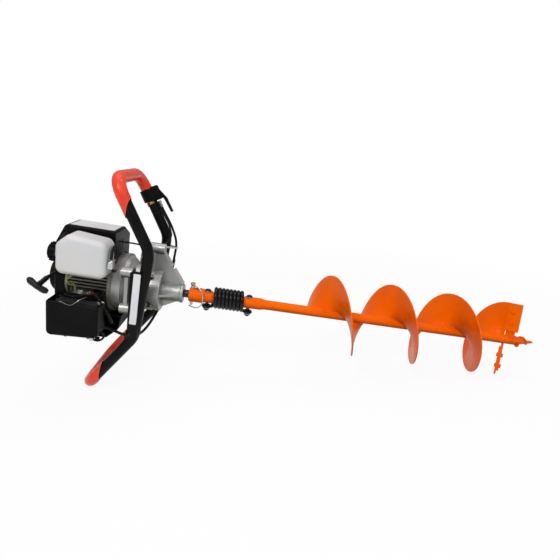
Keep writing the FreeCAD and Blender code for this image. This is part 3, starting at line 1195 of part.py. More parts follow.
def make_starter():
    """Squarish fan cover with a dome over the rope reel; the reel turns on a post inside the dome."""
    housing = new_body("starter_housing")
    wall = "hood_wall"
    rim = "starter_half"
    square = rectangle(f"-{rim}", f"-{rim}", rim, rim)
    pad(housing, "YZ", [square], STARTER_BACK, "starter_depth", (0, "engine_rise"))
    soften(housing, 20, along((1, 0, 0)))
    soften(housing, 5, lambda edge: edge.BoundBox.XMax < val(STARTER_BACK) + 0.1)
    rim = f"(starter_half - {wall})"
    clip = f"(starter_half - {wall} - 12)"
    inside = [(clip, f"-{rim}"), (rim, f"-{clip}"), (rim, clip), (clip, rim),
              (f"-{clip}", rim), (f"-{rim}", clip), (f"-{rim}", f"-{clip}"), (f"-{clip}", f"-{rim}")]
    cut(housing, "YZ", [inside], f"{STARTER_BACK} + {wall}", "starter_depth", (0, "engine_rise"))
    spin(housing, [[(f"{STARTER_BACK} + 2", 0), (f"{STARTER_BACK} + 2", "dome_radius"),
                    (f"{DOME_BACK} + 4", "dome_radius"), (DOME_BACK, "dome_radius - 4"), (DOME_BACK, 0)]],
         at=(0, "engine_rise", 0))
    spin(housing, [rectangle(f"{STARTER_BACK} + {wall} + 1", "axle_radius", f"{DOME_BACK} + {wall}",
                             f"dome_radius - {wall}")],
         at=(0, "engine_rise", 0), groove=True)
    cut(housing, "YZ", [(0, "engine_rise", "axle_radius * 1.2")], f"{STARTER_BACK} - 2", "starter_depth")
    slot = rectangle("dome_radius + 3", -2, "starter_half - 5", 2)
    first = cut(housing, "YZ", [slot], f"{STARTER_BACK} - 1", 5, (0, "engine_rise"))
    ring_array(housing, first, 20, first.Profile[0])
    aim = pull_line()
    tool = housing.newObject("PartDesign::SubtractiveCylinder", "rope_hole")
    tool.Radius = size["rope_radius"] + 0.8
    tool.Height = size["dome_radius"]
    tool.Placement = Placement(aim["start"] + aim["way"] * (size["dome_radius"] * 0.55),
                               Rotation(Vector(0, 0, 1), aim["way"]))
    reel = new_body("starter_reel")
    right = f"({REEL_PLACE} + reel_width / 2)"
    left = f"({REEL_PLACE} - reel_width / 2)"
    bore = "axle_radius + running_gap"
    spin(reel, [[(right, bore), (right, "reel_radius + 8"), (f"{right} - 2", "reel_radius + 8"),
                 (f"{right} - 2", "reel_radius - rope_radius - 0.4"),
                 (f"{left} + 2", "reel_radius - rope_radius - 0.4"),
                 (f"{left} + 2", "reel_radius + 8"), (left, "reel_radius + 8"), (left, bore)]],
         at=(0, "engine_rise", 0))


def pull_line():
    """The straight line on which the rope leaves the reel for its handle."""
    outer = Vector(0, -size["pull_reach"], size["pull_height"])
    centre = Vector(0, 0, size["engine_rise"])
    span = (outer - centre).Length
    radius = size["reel_radius"]
    lean = math.asin(radius / span)
    toward = (outer - centre).normalize()
    way = Rotation(Vector(1, 0, 0), math.degrees(lean)).multVec(toward)
    start = outer - way * math.sqrt(span * span - radius * radius)
    place = Vector(val(REEL_PLACE), 0, 0)
    return {"start": start + place, "end": outer + place, "way": way}


def make_pull():
    """T-shaped handle on a straight rope."""
    aim = pull_line()
    out = size["dome_radius"] + 3
    stem_start = aim["start"] + aim["way"] * (out + 4)
    stem_length = (aim["end"] - stem_start).Length - 2
    stem = Part.makeCone(4, 6, stem_length, stem_start, aim["way"])
    across = Vector(0.84, 0, -0.54).normalize()
    half = size["pull_half"]
    bar = Part.makeCylinder(7, 2 * half - 8, aim["end"] - across * (half - 4), across)
    caps = [Part.makeCone(7, 4.5, 4, aim["end"] + end * (half - 4), end) for end in (across, -across)]
    new_feature("starter_handle", stem.fuse([bar] + caps).removeSplitter())
    rope = Part.makeCylinder(size["rope_radius"], out + 4, aim["start"], aim["way"])
    new_feature("starter_rope", rope)


# ---- Bent tubes, cables and hoses ----

def rounded_path(points, radii):
    """Straight runs through the points, joined by tangent arcs of the given radii."""
    edges = []
    last = points[0]
    for i in range(1, len(points) - 1):
        before = (points[i - 1] - points[i]).normalize()
        after = (points[i + 1] - points[i]).normalize()
        half = before.getAngle(after) / 2
        reach = radii[i - 1] / math.tan(half)
        begin = points[i] + before * reach
        finish = points[i] + after * reach
        centre_way = (before + after).normalize()
        middle = points[i] + centre_way * (radii[i - 1] / math.sin(half) - radii[i - 1])
        edges.append(Part.LineSegment(last, begin).toShape())
        edges.append(Part.Arc(begin, middle, finish).toShape())
        last = finish
    edges.append(Part.LineSegment(last, points[-1]).toShape())
    return Part.Wire(edges)


def tube_along(path, radius):
    """A round bar swept along a smooth path."""
    first = path.Edges[0]
    start = first.valueAt(first.FirstParameter)
    way = first.tangentAt(first.FirstParameter)
    ring = Part.Wire([Part.makeCircle(radius, start, way)])
    return path.makePipeShell([ring], True, False)


def cord_path(points):
    """A smooth path through the points: every arc is as large as its two runs allow."""
    points = [Vector(*point) for point in points]
    radii = []
    for i in range(1, len(points) - 1):
        before = points[i] - points[i - 1]
        after = points[i + 1] - points[i]
        turn = before.getAngle(after)
        radii.append(0.45 * min(before.Length, after.Length) / math.tan(turn / 2))
    return rounded_path(points, radii)


# ---- Handle ----

def loop_points(bend, reach, height):
    """Near tube up to the bend, out along the arm, across the bar and back on the far side."""
    place = size["handle_place"]
    half = size["handle_half"]
    bent = place + size["handle_lean"] * bend
    near = [Vector(place, -half, 0), Vector(bent, -half, bend), Vector(reach, -half, height)]
    return near + [Vector(p.x, half, p.z) for p in reversed(near)]


def loop_path(bend, reach, height):
    arm = size["arm_bend"]
    bar = size["bar_bend"]
    return rounded_path(loop_points(bend, reach, height), [arm, bar, bar, arm])


def part_of_path(path, skip_start, skip_end):
    """What is left of a path after a length is taken off at each end."""
    edges = []
    along_path = 0
    total = path.Length
    for edge in path.OrderedEdges:
        begin = max(skip_start - along_path, 0)
        end = min(total - skip_end - along_path, edge.Length)
        along_path += edge.Length
        if end - begin > 0.01:
            first = edge.getParameterByLength(begin)
            last = edge.getParameterByLength(end)
            edges.append(edge.Curve.toShape(first, last))
    return Part.Wire(edges)


def make_handles():
    """Two bent tubes meet inside the brackets; a soft sleeve with slanting ends covers each bar."""
    outer = size["handle_radius"]
    inner = outer - size["handle_wall"]
    sleeve = outer + size["grip_thick"]
    shapes = {
        "upper": (size["top_bend"], size["top_reach"], size["top_height"], 200, 188),
        "lower": (size["low_bend"], size["low_reach"], size["low_height"], 205, 120),
    }
    for name, (bend, reach, height, near_skip, far_skip) in shapes.items():
        path = loop_path(bend, reach, height)
        tube = tube_along(path, outer).cut(tube_along(path, inner))
        new_feature(name + "_handle_tube", tube)
        held = part_of_path(path, near_skip, far_skip)
        grip = tube_along(held, sleeve).cut(tube_along(held, outer))
        points = loop_points(bend, reach, height)
        arm = (points[2] - points[1]).normalize()
        front = Vector(abs(arm.z), 0, -arm.x * arm.z / abs(arm.z))
        for edge, end in ((held.OrderedEdges[0], 0), (held.OrderedEdges[-1], 1)):
            spot = edge.valueAt(edge.LastParameter if end else edge.FirstParameter)
            grip = grip.cut(slanting_block(spot, arm, front, sleeve))
        new_feature(name + "_grip", grip)


def slanting_block(spot, arm, front, sleeve):
    """Block that trims a sleeve's end so that its front edge is further up the arm than its back."""
    slant = (arm + front * size["grip_slant"]).normalize()
    side = 6 * sleeve
    block = Part.makeBox(side, side, side, Vector(-side / 2, -side / 2, -side))
    block.Placement = Placement(spot + arm * size["grip_slant"] * sleeve, Rotation(Vector(0, 0, 1), slant))
    return block


def make_brackets():
    """Channel plates outside the tubes, their inner flange screwed to the handle mounts."""
    body = new_body("handle_brackets")
    front = "(handle_half + handle_radius)"
    inner = "(ear_half - 8)"
    thick = "bracket_thick"
    right = f"({EAR_END} + bracket_wide)"
    web = [(EAR_END, "bracket_top - 4"), (f"{EAR_END} + 8", "bracket_top"), (f"{right} - 4", "bracket_top"),
           (right, "bracket_top - 6"), (right, "bracket_foot + 6"), (f"{right} - 6", "bracket_foot"),
           (f"{EAR_END} + 14", "bracket_foot"), (EAR_END, "bracket_foot + 28")]
    flange = rectangle(EAR_END, "bracket_top - 4", f"{EAR_END} + {thick}", "bracket_foot + 28")
    for side, web_start, flange_start in ((-1, front, inner), (1, f"-{front} - {thick}", f"-{front}")):
        pad(body, "XZ", [web], web_start, thick)
        pad(body, "XZ", [flange], flange_start, f"{front} - {inner}")
        for height in ("ear_top", "ear_low"):
            cut(body, "YZ", [(f"{side} * ear_half", height, "screw_radius")], f"{EAR_END} - 1",
                f"{thick} + 2")


def make_handle_mounts():
    """Cast bars beside the clutch housing; two ears on each take the bracket screws."""
    body = new_body("handle_mounts")
    start = f"({EAR_END} - ear_length)"
    for side in (-1, 1):
        across = f"{side} * ear_half"
        near, far = f"{side} * (ear_half + 5)", f"{side} * (bell_radius * 0.5)"
        low, high = (near, far) if side < 0 else (far, near)
        bar = rectangle(low, "ear_low - 4", high, "ear_top + 4")
        pad(body, "YZ", [bar], f"{EAR_END} - ear_length * 0.7", "ear_length * 0.32")
        for height in ("ear_top", "ear_low"):
            pad(body, "YZ", [(across, height, "ear_radius")], start, "ear_length")
    outline = bell_outline(0, 4)
    spin(body, [[(COVER_BACK, 0)] + outline + [(BELL_BACK, 0)]], at=(0, "engine_rise", 0), groove=True)
    for side in (-1, 1):
        for height in ("ear_top", "ear_low"):
            across = f"{side} * ear_half"
            cut(body, "YZ", [(across, height, "screw_radius")], f"{EAR_END} - ear_length - 1",
                "ear_length + 2")


# ---- Throttle, stop switch and their cables ----

def far_arm():
    """Frame at the corner of the upper bar: down the far arm is Z, forward is X."""
    points = loop_points(size["top_bend"], size["top_reach"], size["top_height"])
    down = (points[4] - points[3]).normalize()
    forward = Vector(-down.z, 0, down.x)
    return Placement(points[3], Rotation(forward, down.cross(forward), down, "ZXY"))


def make_throttle():
    """Clamp on the far arm with the squeeze lever in front of it and a slide stop switch."""
    arm = far_arm()
    start = size["clamp_start"]
    length = size["clamp_length"]
    grip = size["handle_radius"] + size["grip_thick"]
    outer = grip + size["clamp_wall"]
    shell = Part.makeCylinder(outer, length, Vector(0, 0, start))
    block = Part.makeBox(18, 22, length + 6, Vector(grip - 4, -11, start - 3))
    block = block.makeFillet(4, block.Edges)
    housing = shell.fuse(block).cut(Part.makeCylinder(grip, length + 20, Vector(0, 0, start - 10)))
    slot = Part.makeBox(15, 9.6, length + 20, Vector(grip + 3.5, -4.8, start - 10))
    housing = housing.cut(slot)
    pivot = Vector(grip + 9, 0, start + 6)
    pin = Part.makeCylinder(2.5, 18, pivot - Vector(0, 9, 0), Vector(0, 1, 0))
    housing = housing.cut(pin)
    eye = Part.makeCylinder(5, 8.4, pivot - Vector(0, 4.2, 0), Vector(0, 1, 0))
    profile = [Vector(pivot.x - 3, -4.2, pivot.z), Vector(pivot.x + 3.6, -4.2, pivot.z - 3),
               Vector(pivot.x + 16, -4.2, pivot.z + size["lever_length"] * 0.45),
               Vector(pivot.x + 17, -4.2, pivot.z + size["lever_length"]),
               Vector(pivot.x + 12, -4.2, pivot.z + size["lever_length"]),
               Vector(pivot.x + 9, -4.2, pivot.z + size["lever_length"] * 0.45)]
    blade = Part.Face(Part.makePolygon(profile + profile[:1])).extrude(Vector(0, 8.4, 0))
    pin_bore = Part.makeCylinder(2.5 + size["running_gap"], 18, pivot - Vector(0, 9, 0), Vector(0, 1, 0))
    lever = eye.fuse(blade).cut(pin_bore)
    lever_piece = new_feature("throttle_lever", lever)
    house = new_feature("throttle_housing", Part.makeCompound([housing, pin]))
    switch = Part.makeBox(6, 3, 10, Vector(grip + 5, -14.2, start + 12))
    switch_piece = new_feature("stop_switch", switch.makeFillet(1, switch.Edges))
    for piece in (lever_piece, house, switch_piece):
        piece.Placement = arm


# Hand-chosen routes of the cords.
THROTTLE_ROUTE = [
    (-108, 97.9, 205.5), (-97, 99.5, 184), (-72, 99, 146), (-53, 96, 104), (-56, 88, 58), (-60, 83, 12),
    (-66, 79, -36), (-82, 68, -84), (-98, 38, -122), (-112, 0, -134), (-131, -48, -114),
    (-158, -68, -92), (-185, -73.5, -80), (-205, -74, -74), (-209, -74, -58), (-209, -74, -43.2),
]
LEAD_ROUTE = [
    (-108, 82.1, 205.5), (-95, 80, 184), (-72, 74, 150), (-62, 66, 124), (-72, 54, 108),
    (-96, 40, 102), (-122, 22, 102), (-144, 18, 104), (-161.8, 18, 104),
]
HOSE_ROUTE = [
    (-245, -82, 47.2), (-245, -82, 37), (-258, -84, 26), (-256, -76, 12), (-246.5, -64, 10),
    (-246.5, -64, -3.9),
]


def make_cords():
    for label, route, radius in (("throttle_cable", THROTTLE_ROUTE, "cable_radius"),
                                 ("stop_lead", LEAD_ROUTE, "lead_radius"),
                                 ("fuel_hose", HOSE_ROUTE, "hose_radius")):
        new_feature(label, tube_along(cord_path(route), size[radius]))


def belt_face(centre, other, radius, small):
    """Face inside a belt that runs tightly round two circles of a horizontal plane."""
    line = other - centre
    lean = math.acos((radius - small) / line.Length)
    way = math.atan2(line.y, line.x)

    def spot(middle, reach, turn):
        return middle + Vector(reach * math.cos(turn), reach * math.sin(turn), 0)

    back = Part.Arc(spot(centre, radius, way + lean), spot(centre, radius, way + math.pi),
                    spot(centre, radius, way - lean))
    front = Part.Arc(spot(other, small, way - lean), spot(other, small, way),
                     spot(other, small, way + lean))
    sides = [Part.LineSegment(back.EndPoint, front.StartPoint),
             Part.LineSegment(front.EndPoint, back.StartPoint)]
    return Part.Face(Part.Wire([back.toShape(), sides[0].toShape(), front.toShape(), sides[1].toShape()]))


def make_tie():
    """Strap that holds the throttle cable to the far tube, square to the tube."""
    gap = 0.6
    thick = 1.4
    height = size["tie_height"]
    level = Part.makePlane(400, 400, Vector(-200, -200, height))
    cable = cord_path(THROTTLE_ROUTE).section(level).Vertexes[0].Point
    tube = Vector(size["handle_place"] + size["handle_lean"] * height, size["handle_half"], height)
    away = cable - tube
    belts = [belt_face(Vector(), away, size["handle_radius"] + more, size["cable_radius"] + gap + more)
             for more in (0.15, thick)]
    strap = belts[1].cut(belts[0]).extrude(Vector(0, 0, size["tie_width"]))
    strap.Placement = Placement(tube, Rotation(Vector(0, 0, 1), Vector(size["handle_lean"], 0, 1)))
    new_feature("cable_tie", strap)


# ---- Assembly ----

def lie_down():
    """Placement that rests the lower bar and the second blade's corner on the floor.

    The floor's slope in the auger frame follows from the two contacts; the zero then goes
    to the middle of the machine's floor rectangle.
    """
    corner = blade_tilts()[1].multVec(Vector(size["blade_width"], size["blade_outer"], 0))
    corner = Vector(val(BLADE_SEAM) + corner.x, 0, corner.y)
    bar = Vector(size["low_reach"], 0, size["low_height"])
    sleeve = size["handle_radius"] + size["grip_thick"]
    line = corner - bar
    slope = math.atan2(line.z, line.x) + math.asin(sleeve / line.Length)
    turned = Placement(Vector(), Rotation(Vector(0, 1, 0), math.degrees(slope)))
    box = FreeCAD.BoundBox()
    for piece in pieces():
        shape = piece.Shape.copy()
        shape.Placement = turned.multiply(shape.Placement)
        box.add(shape.optimalBoundingBox(False))
    turned.Base = Vector(-(box.XMin + box.XMax) / 2, -(box.YMin + box.YMax) / 2, -box.ZMin)
    return turned


def pieces():
    """Every sub-part of the machine."""
    return [item for item in doc.Objects if item.TypeId in ("PartDesign::Body", "Part::Feature")]


def build():
    make_auger_tube()
    make_flighting()
    make_point()
    make_cutters()
    make_drive_socket()
    make_output_shaft()
    make_lock_pin()
    make_shock_spring()
    make_coupling_bolt("drive_bolt", f"({SPRING_START} - bolt_inset)", "socket_neck")
    make_coupling_bolt("auger_bolt", f"({COLLAR_START} + bolt_inset)", "collar_radius")
    make_gears()
    make_bearings()
    make_gearbox_housing()
    make_gearbox_cover()
    make_screws()
    make_clutch_housing()
    make_clutch()
    make_crankcase()
    make_crankshaft()
    make_flywheel()
    make_cylinder()
    make_spark_plug()
    make_shroud()
    make_muffler()
    make_inlet()
    make_primer_and_levers()
    make_air_filter()
    make_tank()
    make_hood()
    make_starter()
    make_pull()
    make_handles()
    make_brackets()
    make_handle_mounts()
    make_throttle()
    make_cords()
    make_tie()


def check():
    """Stop if any feature failed or any piece has no sound shape."""
    for item in doc.Objects:
        if "Invalid" in item.State or "Error" in item.State:
            raise RuntimeError(f"{item.Label} did not build: {item.State}")
    for piece in pieces():
        if piece.Shape.isNull() or not piece.Shape.isValid():
            raise RuntimeError(f"{piece.Label} has no sound shape")


build()
doc.recompute()
check()
LIE = lie_down()
for piece in pieces():
    piece.Placement = LIE.multiply(piece.Placement)
os.makedirs("parts", exist_ok=True)
for piece in pieces():
    piece.Shape.exportStep(f"parts/{piece.Label}.step")
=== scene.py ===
import json
import math

import bmesh
import bpy
from mathutils import Matrix, Vector


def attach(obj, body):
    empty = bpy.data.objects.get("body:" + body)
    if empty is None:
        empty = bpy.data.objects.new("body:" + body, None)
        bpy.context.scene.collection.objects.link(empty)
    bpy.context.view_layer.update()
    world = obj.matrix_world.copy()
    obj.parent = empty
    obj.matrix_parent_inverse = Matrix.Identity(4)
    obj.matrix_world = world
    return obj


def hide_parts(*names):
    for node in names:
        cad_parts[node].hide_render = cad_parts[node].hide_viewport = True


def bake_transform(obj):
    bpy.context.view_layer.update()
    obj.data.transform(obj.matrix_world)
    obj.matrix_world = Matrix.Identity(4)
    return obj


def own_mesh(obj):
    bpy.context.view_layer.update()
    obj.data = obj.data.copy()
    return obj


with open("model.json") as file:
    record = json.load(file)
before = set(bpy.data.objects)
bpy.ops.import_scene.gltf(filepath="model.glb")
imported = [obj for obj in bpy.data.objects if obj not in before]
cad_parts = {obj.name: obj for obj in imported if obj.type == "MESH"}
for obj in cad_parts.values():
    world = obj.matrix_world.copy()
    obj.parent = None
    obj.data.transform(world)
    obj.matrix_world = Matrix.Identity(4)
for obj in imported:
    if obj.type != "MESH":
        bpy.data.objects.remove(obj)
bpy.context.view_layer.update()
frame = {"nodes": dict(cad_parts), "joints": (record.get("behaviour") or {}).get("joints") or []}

# The machine's own directions. The drilling axis leaves the gearbox nose along X, the tank
# side is Z, and both lie a few degrees off the floor because the auger rests on its handle
# and on one blade. Pieces are drawn upright in millimetres and laid down by LAID.

MILLIMETRE = 0.001

joints = {joint["name"]: joint for joint in frame["joints"]}
nose = Vector(joints["auger_spin"]["pos_m"])
drilling = Vector(joints["auger_spin"]["axis"]).normalized()
across = Vector((0, 1, 0))
turned = Matrix((drilling, across, drilling.cross(across))).transposed().to_4x4()
LAID = Matrix.Translation(nose) @ turned @ Matrix.Scale(MILLIMETRE, 4)

# The camera stands about a metre in front of the gearbox, a little above it, with its head
# tipped by under two degrees.

LENS = 25.77
SENSOR_WIDTH = 36
STAND_OFF = Vector((0.1832, -0.962, 0.3479))
LOOK_WAY = Vector((0.0502, 0.9511, -0.3047))
HEAD_TIP = 1.75

camera_data = bpy.data.cameras.new("camera")
camera_data.lens = LENS
camera_data.sensor_width = SENSOR_WIDTH
camera = bpy.data.objects.new("camera", camera_data)
bpy.context.scene.collection.objects.link(camera)
look = LOOK_WAY.to_track_quat("-Z", "Y").to_matrix() @ Matrix.Rotation(math.radians(HEAD_TIP), 3, "Z")
camera.matrix_world = Matrix.Translation(nose + STAND_OFF) @ look.to_4x4()
bpy.context.scene.camera = camera

# Studio: a matt pale floor that runs out of sight, an even white surround, one wide lamp
# high on the left and weaker ones on the right and above to open the shadows.

WHITE = (1, 1, 1, 1)
FLOOR_HALF = 7
FLOOR_GREY = 0.94
FADE_START = 0.9
FADE_END = 1.8
NEAR_GLOW = 0.92
SURROUND_LIGHT = 0.42


def fill_inputs(tree, node, feeds):
    """Link each named input of a node to a socket, or give it a value."""
    for name, value in feeds.items():
        if isinstance(value, bpy.types.NodeSocket):
            tree.links.new(value, node.inputs[name])
        else:
            node.inputs[name].default_value = value


def add_node(tree, kind, feeds=None, **settings):
    """A node of one tree, its settings made and its inputs filled or linked."""
    made = tree.nodes.new("ShaderNode" + kind)
    for key, value in settings.items():
        setattr(made, key, value)
    fill_inputs(tree, made, feeds or {})
    return made


def combine(tree, operation, first, second):
    """Two values put together by one step of arithmetic."""
    return add_node(tree, "Math", {0: first, 1: second}, operation=operation).outputs[0]


def remap(tree, value, low, high, to_low=0.0, to_high=1.0):
    """A value carried from one range to another."""
    made = add_node(tree, "MapRange", {"Value": value, "From Min": low, "From Max": high,
                                       "To Min": to_low, "To Max": to_high})
    return made.outputs[0]


def bare_material(name):
    """An empty material, with its tree and its output."""
    made = bpy.data.materials.new(name)
    made.use_nodes = True
    made.node_tree.nodes.clear()
    return made, made.node_tree, made.node_tree.nodes.new("ShaderNodeOutputMaterial")


def add_lamp(name, place, aim, size, power):
    """A rectangular lamp at a place, turned to what it lights."""
    data = bpy.data.lights.new(name, "AREA")
    data.shape = "RECTANGLE"
    data.size, data.size_y = size
    data.energy = power
    lamp = bpy.data.objects.new(name, data)
    bpy.context.scene.collection.objects.link(lamp)
    turn = (Vector(aim) - Vector(place)).to_track_quat("-Z", "Y").to_matrix().to_4x4()
    lamp.matrix_world = Matrix.Translation(place) @ turn


floor_finish, tree, output = bare_material("studio_floor")
paths = add_node(tree, "LightPath").outputs
seen = combine(tree, "MAXIMUM", paths["Is Camera Ray"], paths["Is Glossy Ray"])
seen = combine(tree, "MAXIMUM", seen, paths["Is Transmission Ray"])
matt = add_node(tree, "BsdfDiffuse", {"Color": (FLOOR_GREY, FLOOR_GREY, FLOOR_GREY, 1)})
lit = add_node(tree, "Emission", {"Color": WHITE, "Strength": 1.0})
spot = add_node(tree, "TexCoord").outputs["Object"]
distance = add_node(tree, "VectorMath", {0: spot}, operation="LENGTH").outputs["Value"]
share = combine(tree, "MULTIPLY", seen, remap(tree, distance, FADE_START, FADE_END, NEAR_GLOW, 1.0))
mixed = add_node(tree, "MixShader", {0: share, 1: matt.outputs[0], 2: lit.outputs[0]})
tree.links.new(mixed.outputs[0], output.inputs["Surface"])

bm = bmesh.new()
bmesh.ops.create_grid(bm, x_segments=1, y_segments=1, size=FLOOR_HALF)
floor_mesh = bpy.data.meshes.new("floor")
bm.to_mesh(floor_mesh)
bm.free()
floor = bpy.data.objects.new("floor", floor_mesh)
bpy.context.scene.collection.objects.link(floor)
floor_mesh.materials.append(floor_finish)

bpy.context.scene.view_settings.view_transform = "Standard"
world = bpy.data.worlds.new("studio")
bpy.context.scene.world = world
world.use_nodes = True
tree = world.node_tree
tree.nodes.clear()
seen = add_node(tree, "LightPath").outputs["Is Camera Ray"]
strength = remap(tree, seen, 0, 1, SURROUND_LIGHT, 1.0)
around = add_node(tree, "Background", {"Color": WHITE, "Strength": strength})
tree.links.new(around.outputs[0], add_node(tree, "OutputWorld").inputs["Surface"])

add_lamp("key_lamp", (-0.7, -1.6, 2.1), (0, 0, 0.2), size=(1.3, 0.8), power=27)
add_lamp("fill_lamp", (1.6, -1.4, 1.5), (0.2, 0, 0.2), size=(1.0, 1.0), power=6)
add_lamp("top_lamp", (0.0, 0.5, 2.4), (0, 0, 0.2), size=(2.0, 0.7), power=13)

# Auger: a steel tube with the flighting welded round it, sprayed glossy orange in one go.
# The paint is a little uneven, is darker underneath by painted shade, and is rubbed to steel along the rim.

FLIGHT_START = 308
FLIGHT_LENGTH = 544
FLIGHT_PITCH = 163.4
FLIGHT_TOP = 367.65
FLIGHT_THICK = 3
TUBE_RADIUS = 12.5
WELD_RADIUS = 1.7
WELD_LEAD = 6
WELD_STEP = 4.2
WELD_GAP = 0.4
WELD_RISE = 0.3
STEEL = (0.42, 0.41, 0.4)


def open_group(name, inputs, outputs):
    """An empty shader node group with its named sockets."""
    tree = bpy.data.node_groups.new(name, "ShaderNodeTree")
    for label, kind, value in inputs:
        socket = tree.interface.new_socket(label, in_out="INPUT", socket_type="NodeSocket" + kind)
        socket.default_value = value
    for label, kind in outputs:
        tree.interface.new_socket(label, in_out="OUTPUT", socket_type="NodeSocket" + kind)
    return tree, tree.nodes.new("NodeGroupInput").outputs, tree.nodes.new("NodeGroupOutput").inputs


def place_group(tree, group, **feeds):
    """A node group placed in a material with its own values."""
    made = tree.nodes.new("ShaderNodeGroup")
    made.node_tree = group
    fill_inputs(tree, made, feeds)
    return made.outputs


def mix_colours(tree, share, first, second):
    """A share of the second colour laid over the first, by a Mix node's colour sockets."""
    return add_node(tree, "Mix", {0: share, 6: first, 7: second}, data_type="RGBA").outputs[2]


MOTTLE, given, put = open_group(
    "mottle", [("Broad", "Float", 20.0), ("Fine", "Float", 600.0)],
    [("Broad", "Float"), ("Fine", "Float"), ("Specks", "Float")])
solid = add_node(MOTTLE, "TexCoord").outputs["Object"]
slow = add_node(MOTTLE, "TexNoise", {"Vector": solid, "Scale": given["Broad"], "Detail": 5.0,
                                     "Roughness": 0.6})
quick = add_node(MOTTLE, "TexNoise", {"Vector": solid, "Scale": given["Fine"], "Detail": 2.0})
dot_scale = combine(MOTTLE, "MULTIPLY", given["Fine"], 0.3)
dots = add_node(MOTTLE, "TexVoronoi", {"Vector": solid, "Scale": dot_scale})
MOTTLE.links.new(remap(MOTTLE, slow.outputs[0], 0.35, 0.65), put["Broad"])
MOTTLE.links.new(remap(MOTTLE, quick.outputs[0], 0.3, 0.7), put["Fine"])
MOTTLE.links.new(remap(MOTTLE, dots.outputs["Distance"], 0.16, 0.05), put["Specks"])

RUBBED, given, put = open_group(
    "rubbed_edges", [("Width", "Float", 0.001), ("Patches", "Float", 60.0), ("Amount", "Float", 0.5)],
    [("Mask", "Float")])
rounded = add_node(RUBBED, "Bevel", {"Radius": given["Width"]}, samples=4).outputs[0]
facing = add_node(RUBBED, "NewGeometry").outputs["Normal"]
bend = add_node(RUBBED, "VectorMath", {0: rounded, 1: facing}, operation="DOT_PRODUCT").outputs["Value"]
edge = remap(RUBBED, bend, 0.98, 0.8)
solid = add_node(RUBBED, "TexCoord").outputs["Object"]
patch = add_node(RUBBED, "TexNoise", {"Vector": solid, "Scale": given["Patches"], "Detail": 6.0,
                                      "Roughness": 0.7})
start = combine(RUBBED, "SUBTRACT", 0.75, given["Amount"])
stop = combine(RUBBED, "ADD", start, 0.08)
worn = remap(RUBBED, patch.outputs[0], start, stop)
RUBBED.links.new(combine(RUBBED, "MULTIPLY", edge, worn), put["Mask"])


def make_finish(name, light, dark, under, rough, relief, grain=(25, 700), rub=(0.0012, 0.3), metal=0.0,
                under_metal=1.0, speck=0.0, underside_shade=None, **fixed):
    """A finish whose colour drifts from light to dark, with a fine grain and rubbed edges.

    `rough` gives the roughness of the smooth and the dull spots, `relief` the depth of the grain
    in metres, `grain` its slow and fine scale, `rub` the width and amount of wear along edges,
    `under` is what the wear lays bare, and the underside colour is painted shade laid over what faces down.
    """
    made, tree, output = bare_material(name)
    fixed = {label.replace("_", " "): value for label, value in fixed.items()}
    shader = add_node(tree, "BsdfPrincipled", fixed)
    tree.links.new(shader.outputs[0], output.inputs["Surface"])
    marks = place_group(tree, MOTTLE, Broad=grain[0], Fine=grain[1])
    worn = place_group(tree, RUBBED, Width=rub[0], Amount=rub[1])["Mask"]
    colour = mix_colours(tree, marks["Broad"], (*light, 1), (*dark, 1))
    if speck:
        specks = combine(tree, "MULTIPLY", marks["Specks"], speck)
        colour = mix_colours(tree, specks, colour, (*under, 1))
    colour = mix_colours(tree, worn, colour, (*under, 1))
    # Painted shade: faces turned downwards darken towards the underside colour, unevenly by the broad
    # mottle.
    if underside_shade:
        normal = add_node(tree, "NewGeometry").outputs["Normal"]
        upward = add_node(tree, "SeparateXYZ", {0: normal}).outputs["Z"]
        drift = combine(tree, "ADD", upward, remap(tree, marks["Broad"], 0, 1, -0.15, 0.15))
        colour = mix_colours(tree, remap(tree, drift, 0.15, -0.55), colour, (*underside_shade, 1))
    tree.links.new(colour, shader.inputs["Base Color"])
    tree.links.new(remap(tree, worn, 0, 1, metal, under_metal), shader.inputs["Metallic"])
    dulled = combine(tree, "ADD", combine(tree, "MULTIPLY", marks["Broad"], 0.6),
                     combine(tree, "MULTIPLY", marks["Fine"], 0.4))
    dulled = combine(tree, "ADD", remap(tree, dulled, 0, 1, *rough),
                     combine(tree, "MULTIPLY", worn, 0.15))
    tree.links.new(dulled, shader.inputs["Roughness"])
    height = combine(tree, "SUBTRACT", marks["Fine"], combine(tree, "MULTIPLY", worn, 0.8))
    bump = add_node(tree, "Bump", {"Height": height, "Distance": relief, "Strength": 1.0})
    tree.links.new(bump.outputs[0], shader.inputs["Normal"])
    return made


def dress(material, *names):
    """Give CAD nodes a finish."""
    for name in names:
        for spot in frame["nodes"][name].material_slots:
            spot.material = material


def add_wire(bm, points, radius, sides=2, thickness=None):
    """A round wire on a smooth line through its given points; `thickness` scales it at each."""
    curve = bpy.data.curves.new("wire", "CURVE")
    curve.dimensions = "3D"
    curve.bevel_depth = radius
    curve.bevel_resolution = sides
    curve.use_fill_caps = True
    curve.resolution_u = 6
    line = curve.splines.new("NURBS")
    line.points.add(len(points) - 1)
    for i, point in enumerate(points):
        line.points[i].co = (*point, 1)
        line.points[i].radius = thickness[i] if thickness else 1
    line.order_u = 3
    line.use_endpoint_u = True
    holder = bpy.data.objects.new("wire", curve)
    mesh = bpy.data.meshes.new_from_object(holder)
    bm.from_mesh(mesh)
    bpy.data.meshes.remove(mesh)
    bpy.data.objects.remove(holder)
    bpy.data.curves.remove(curve)


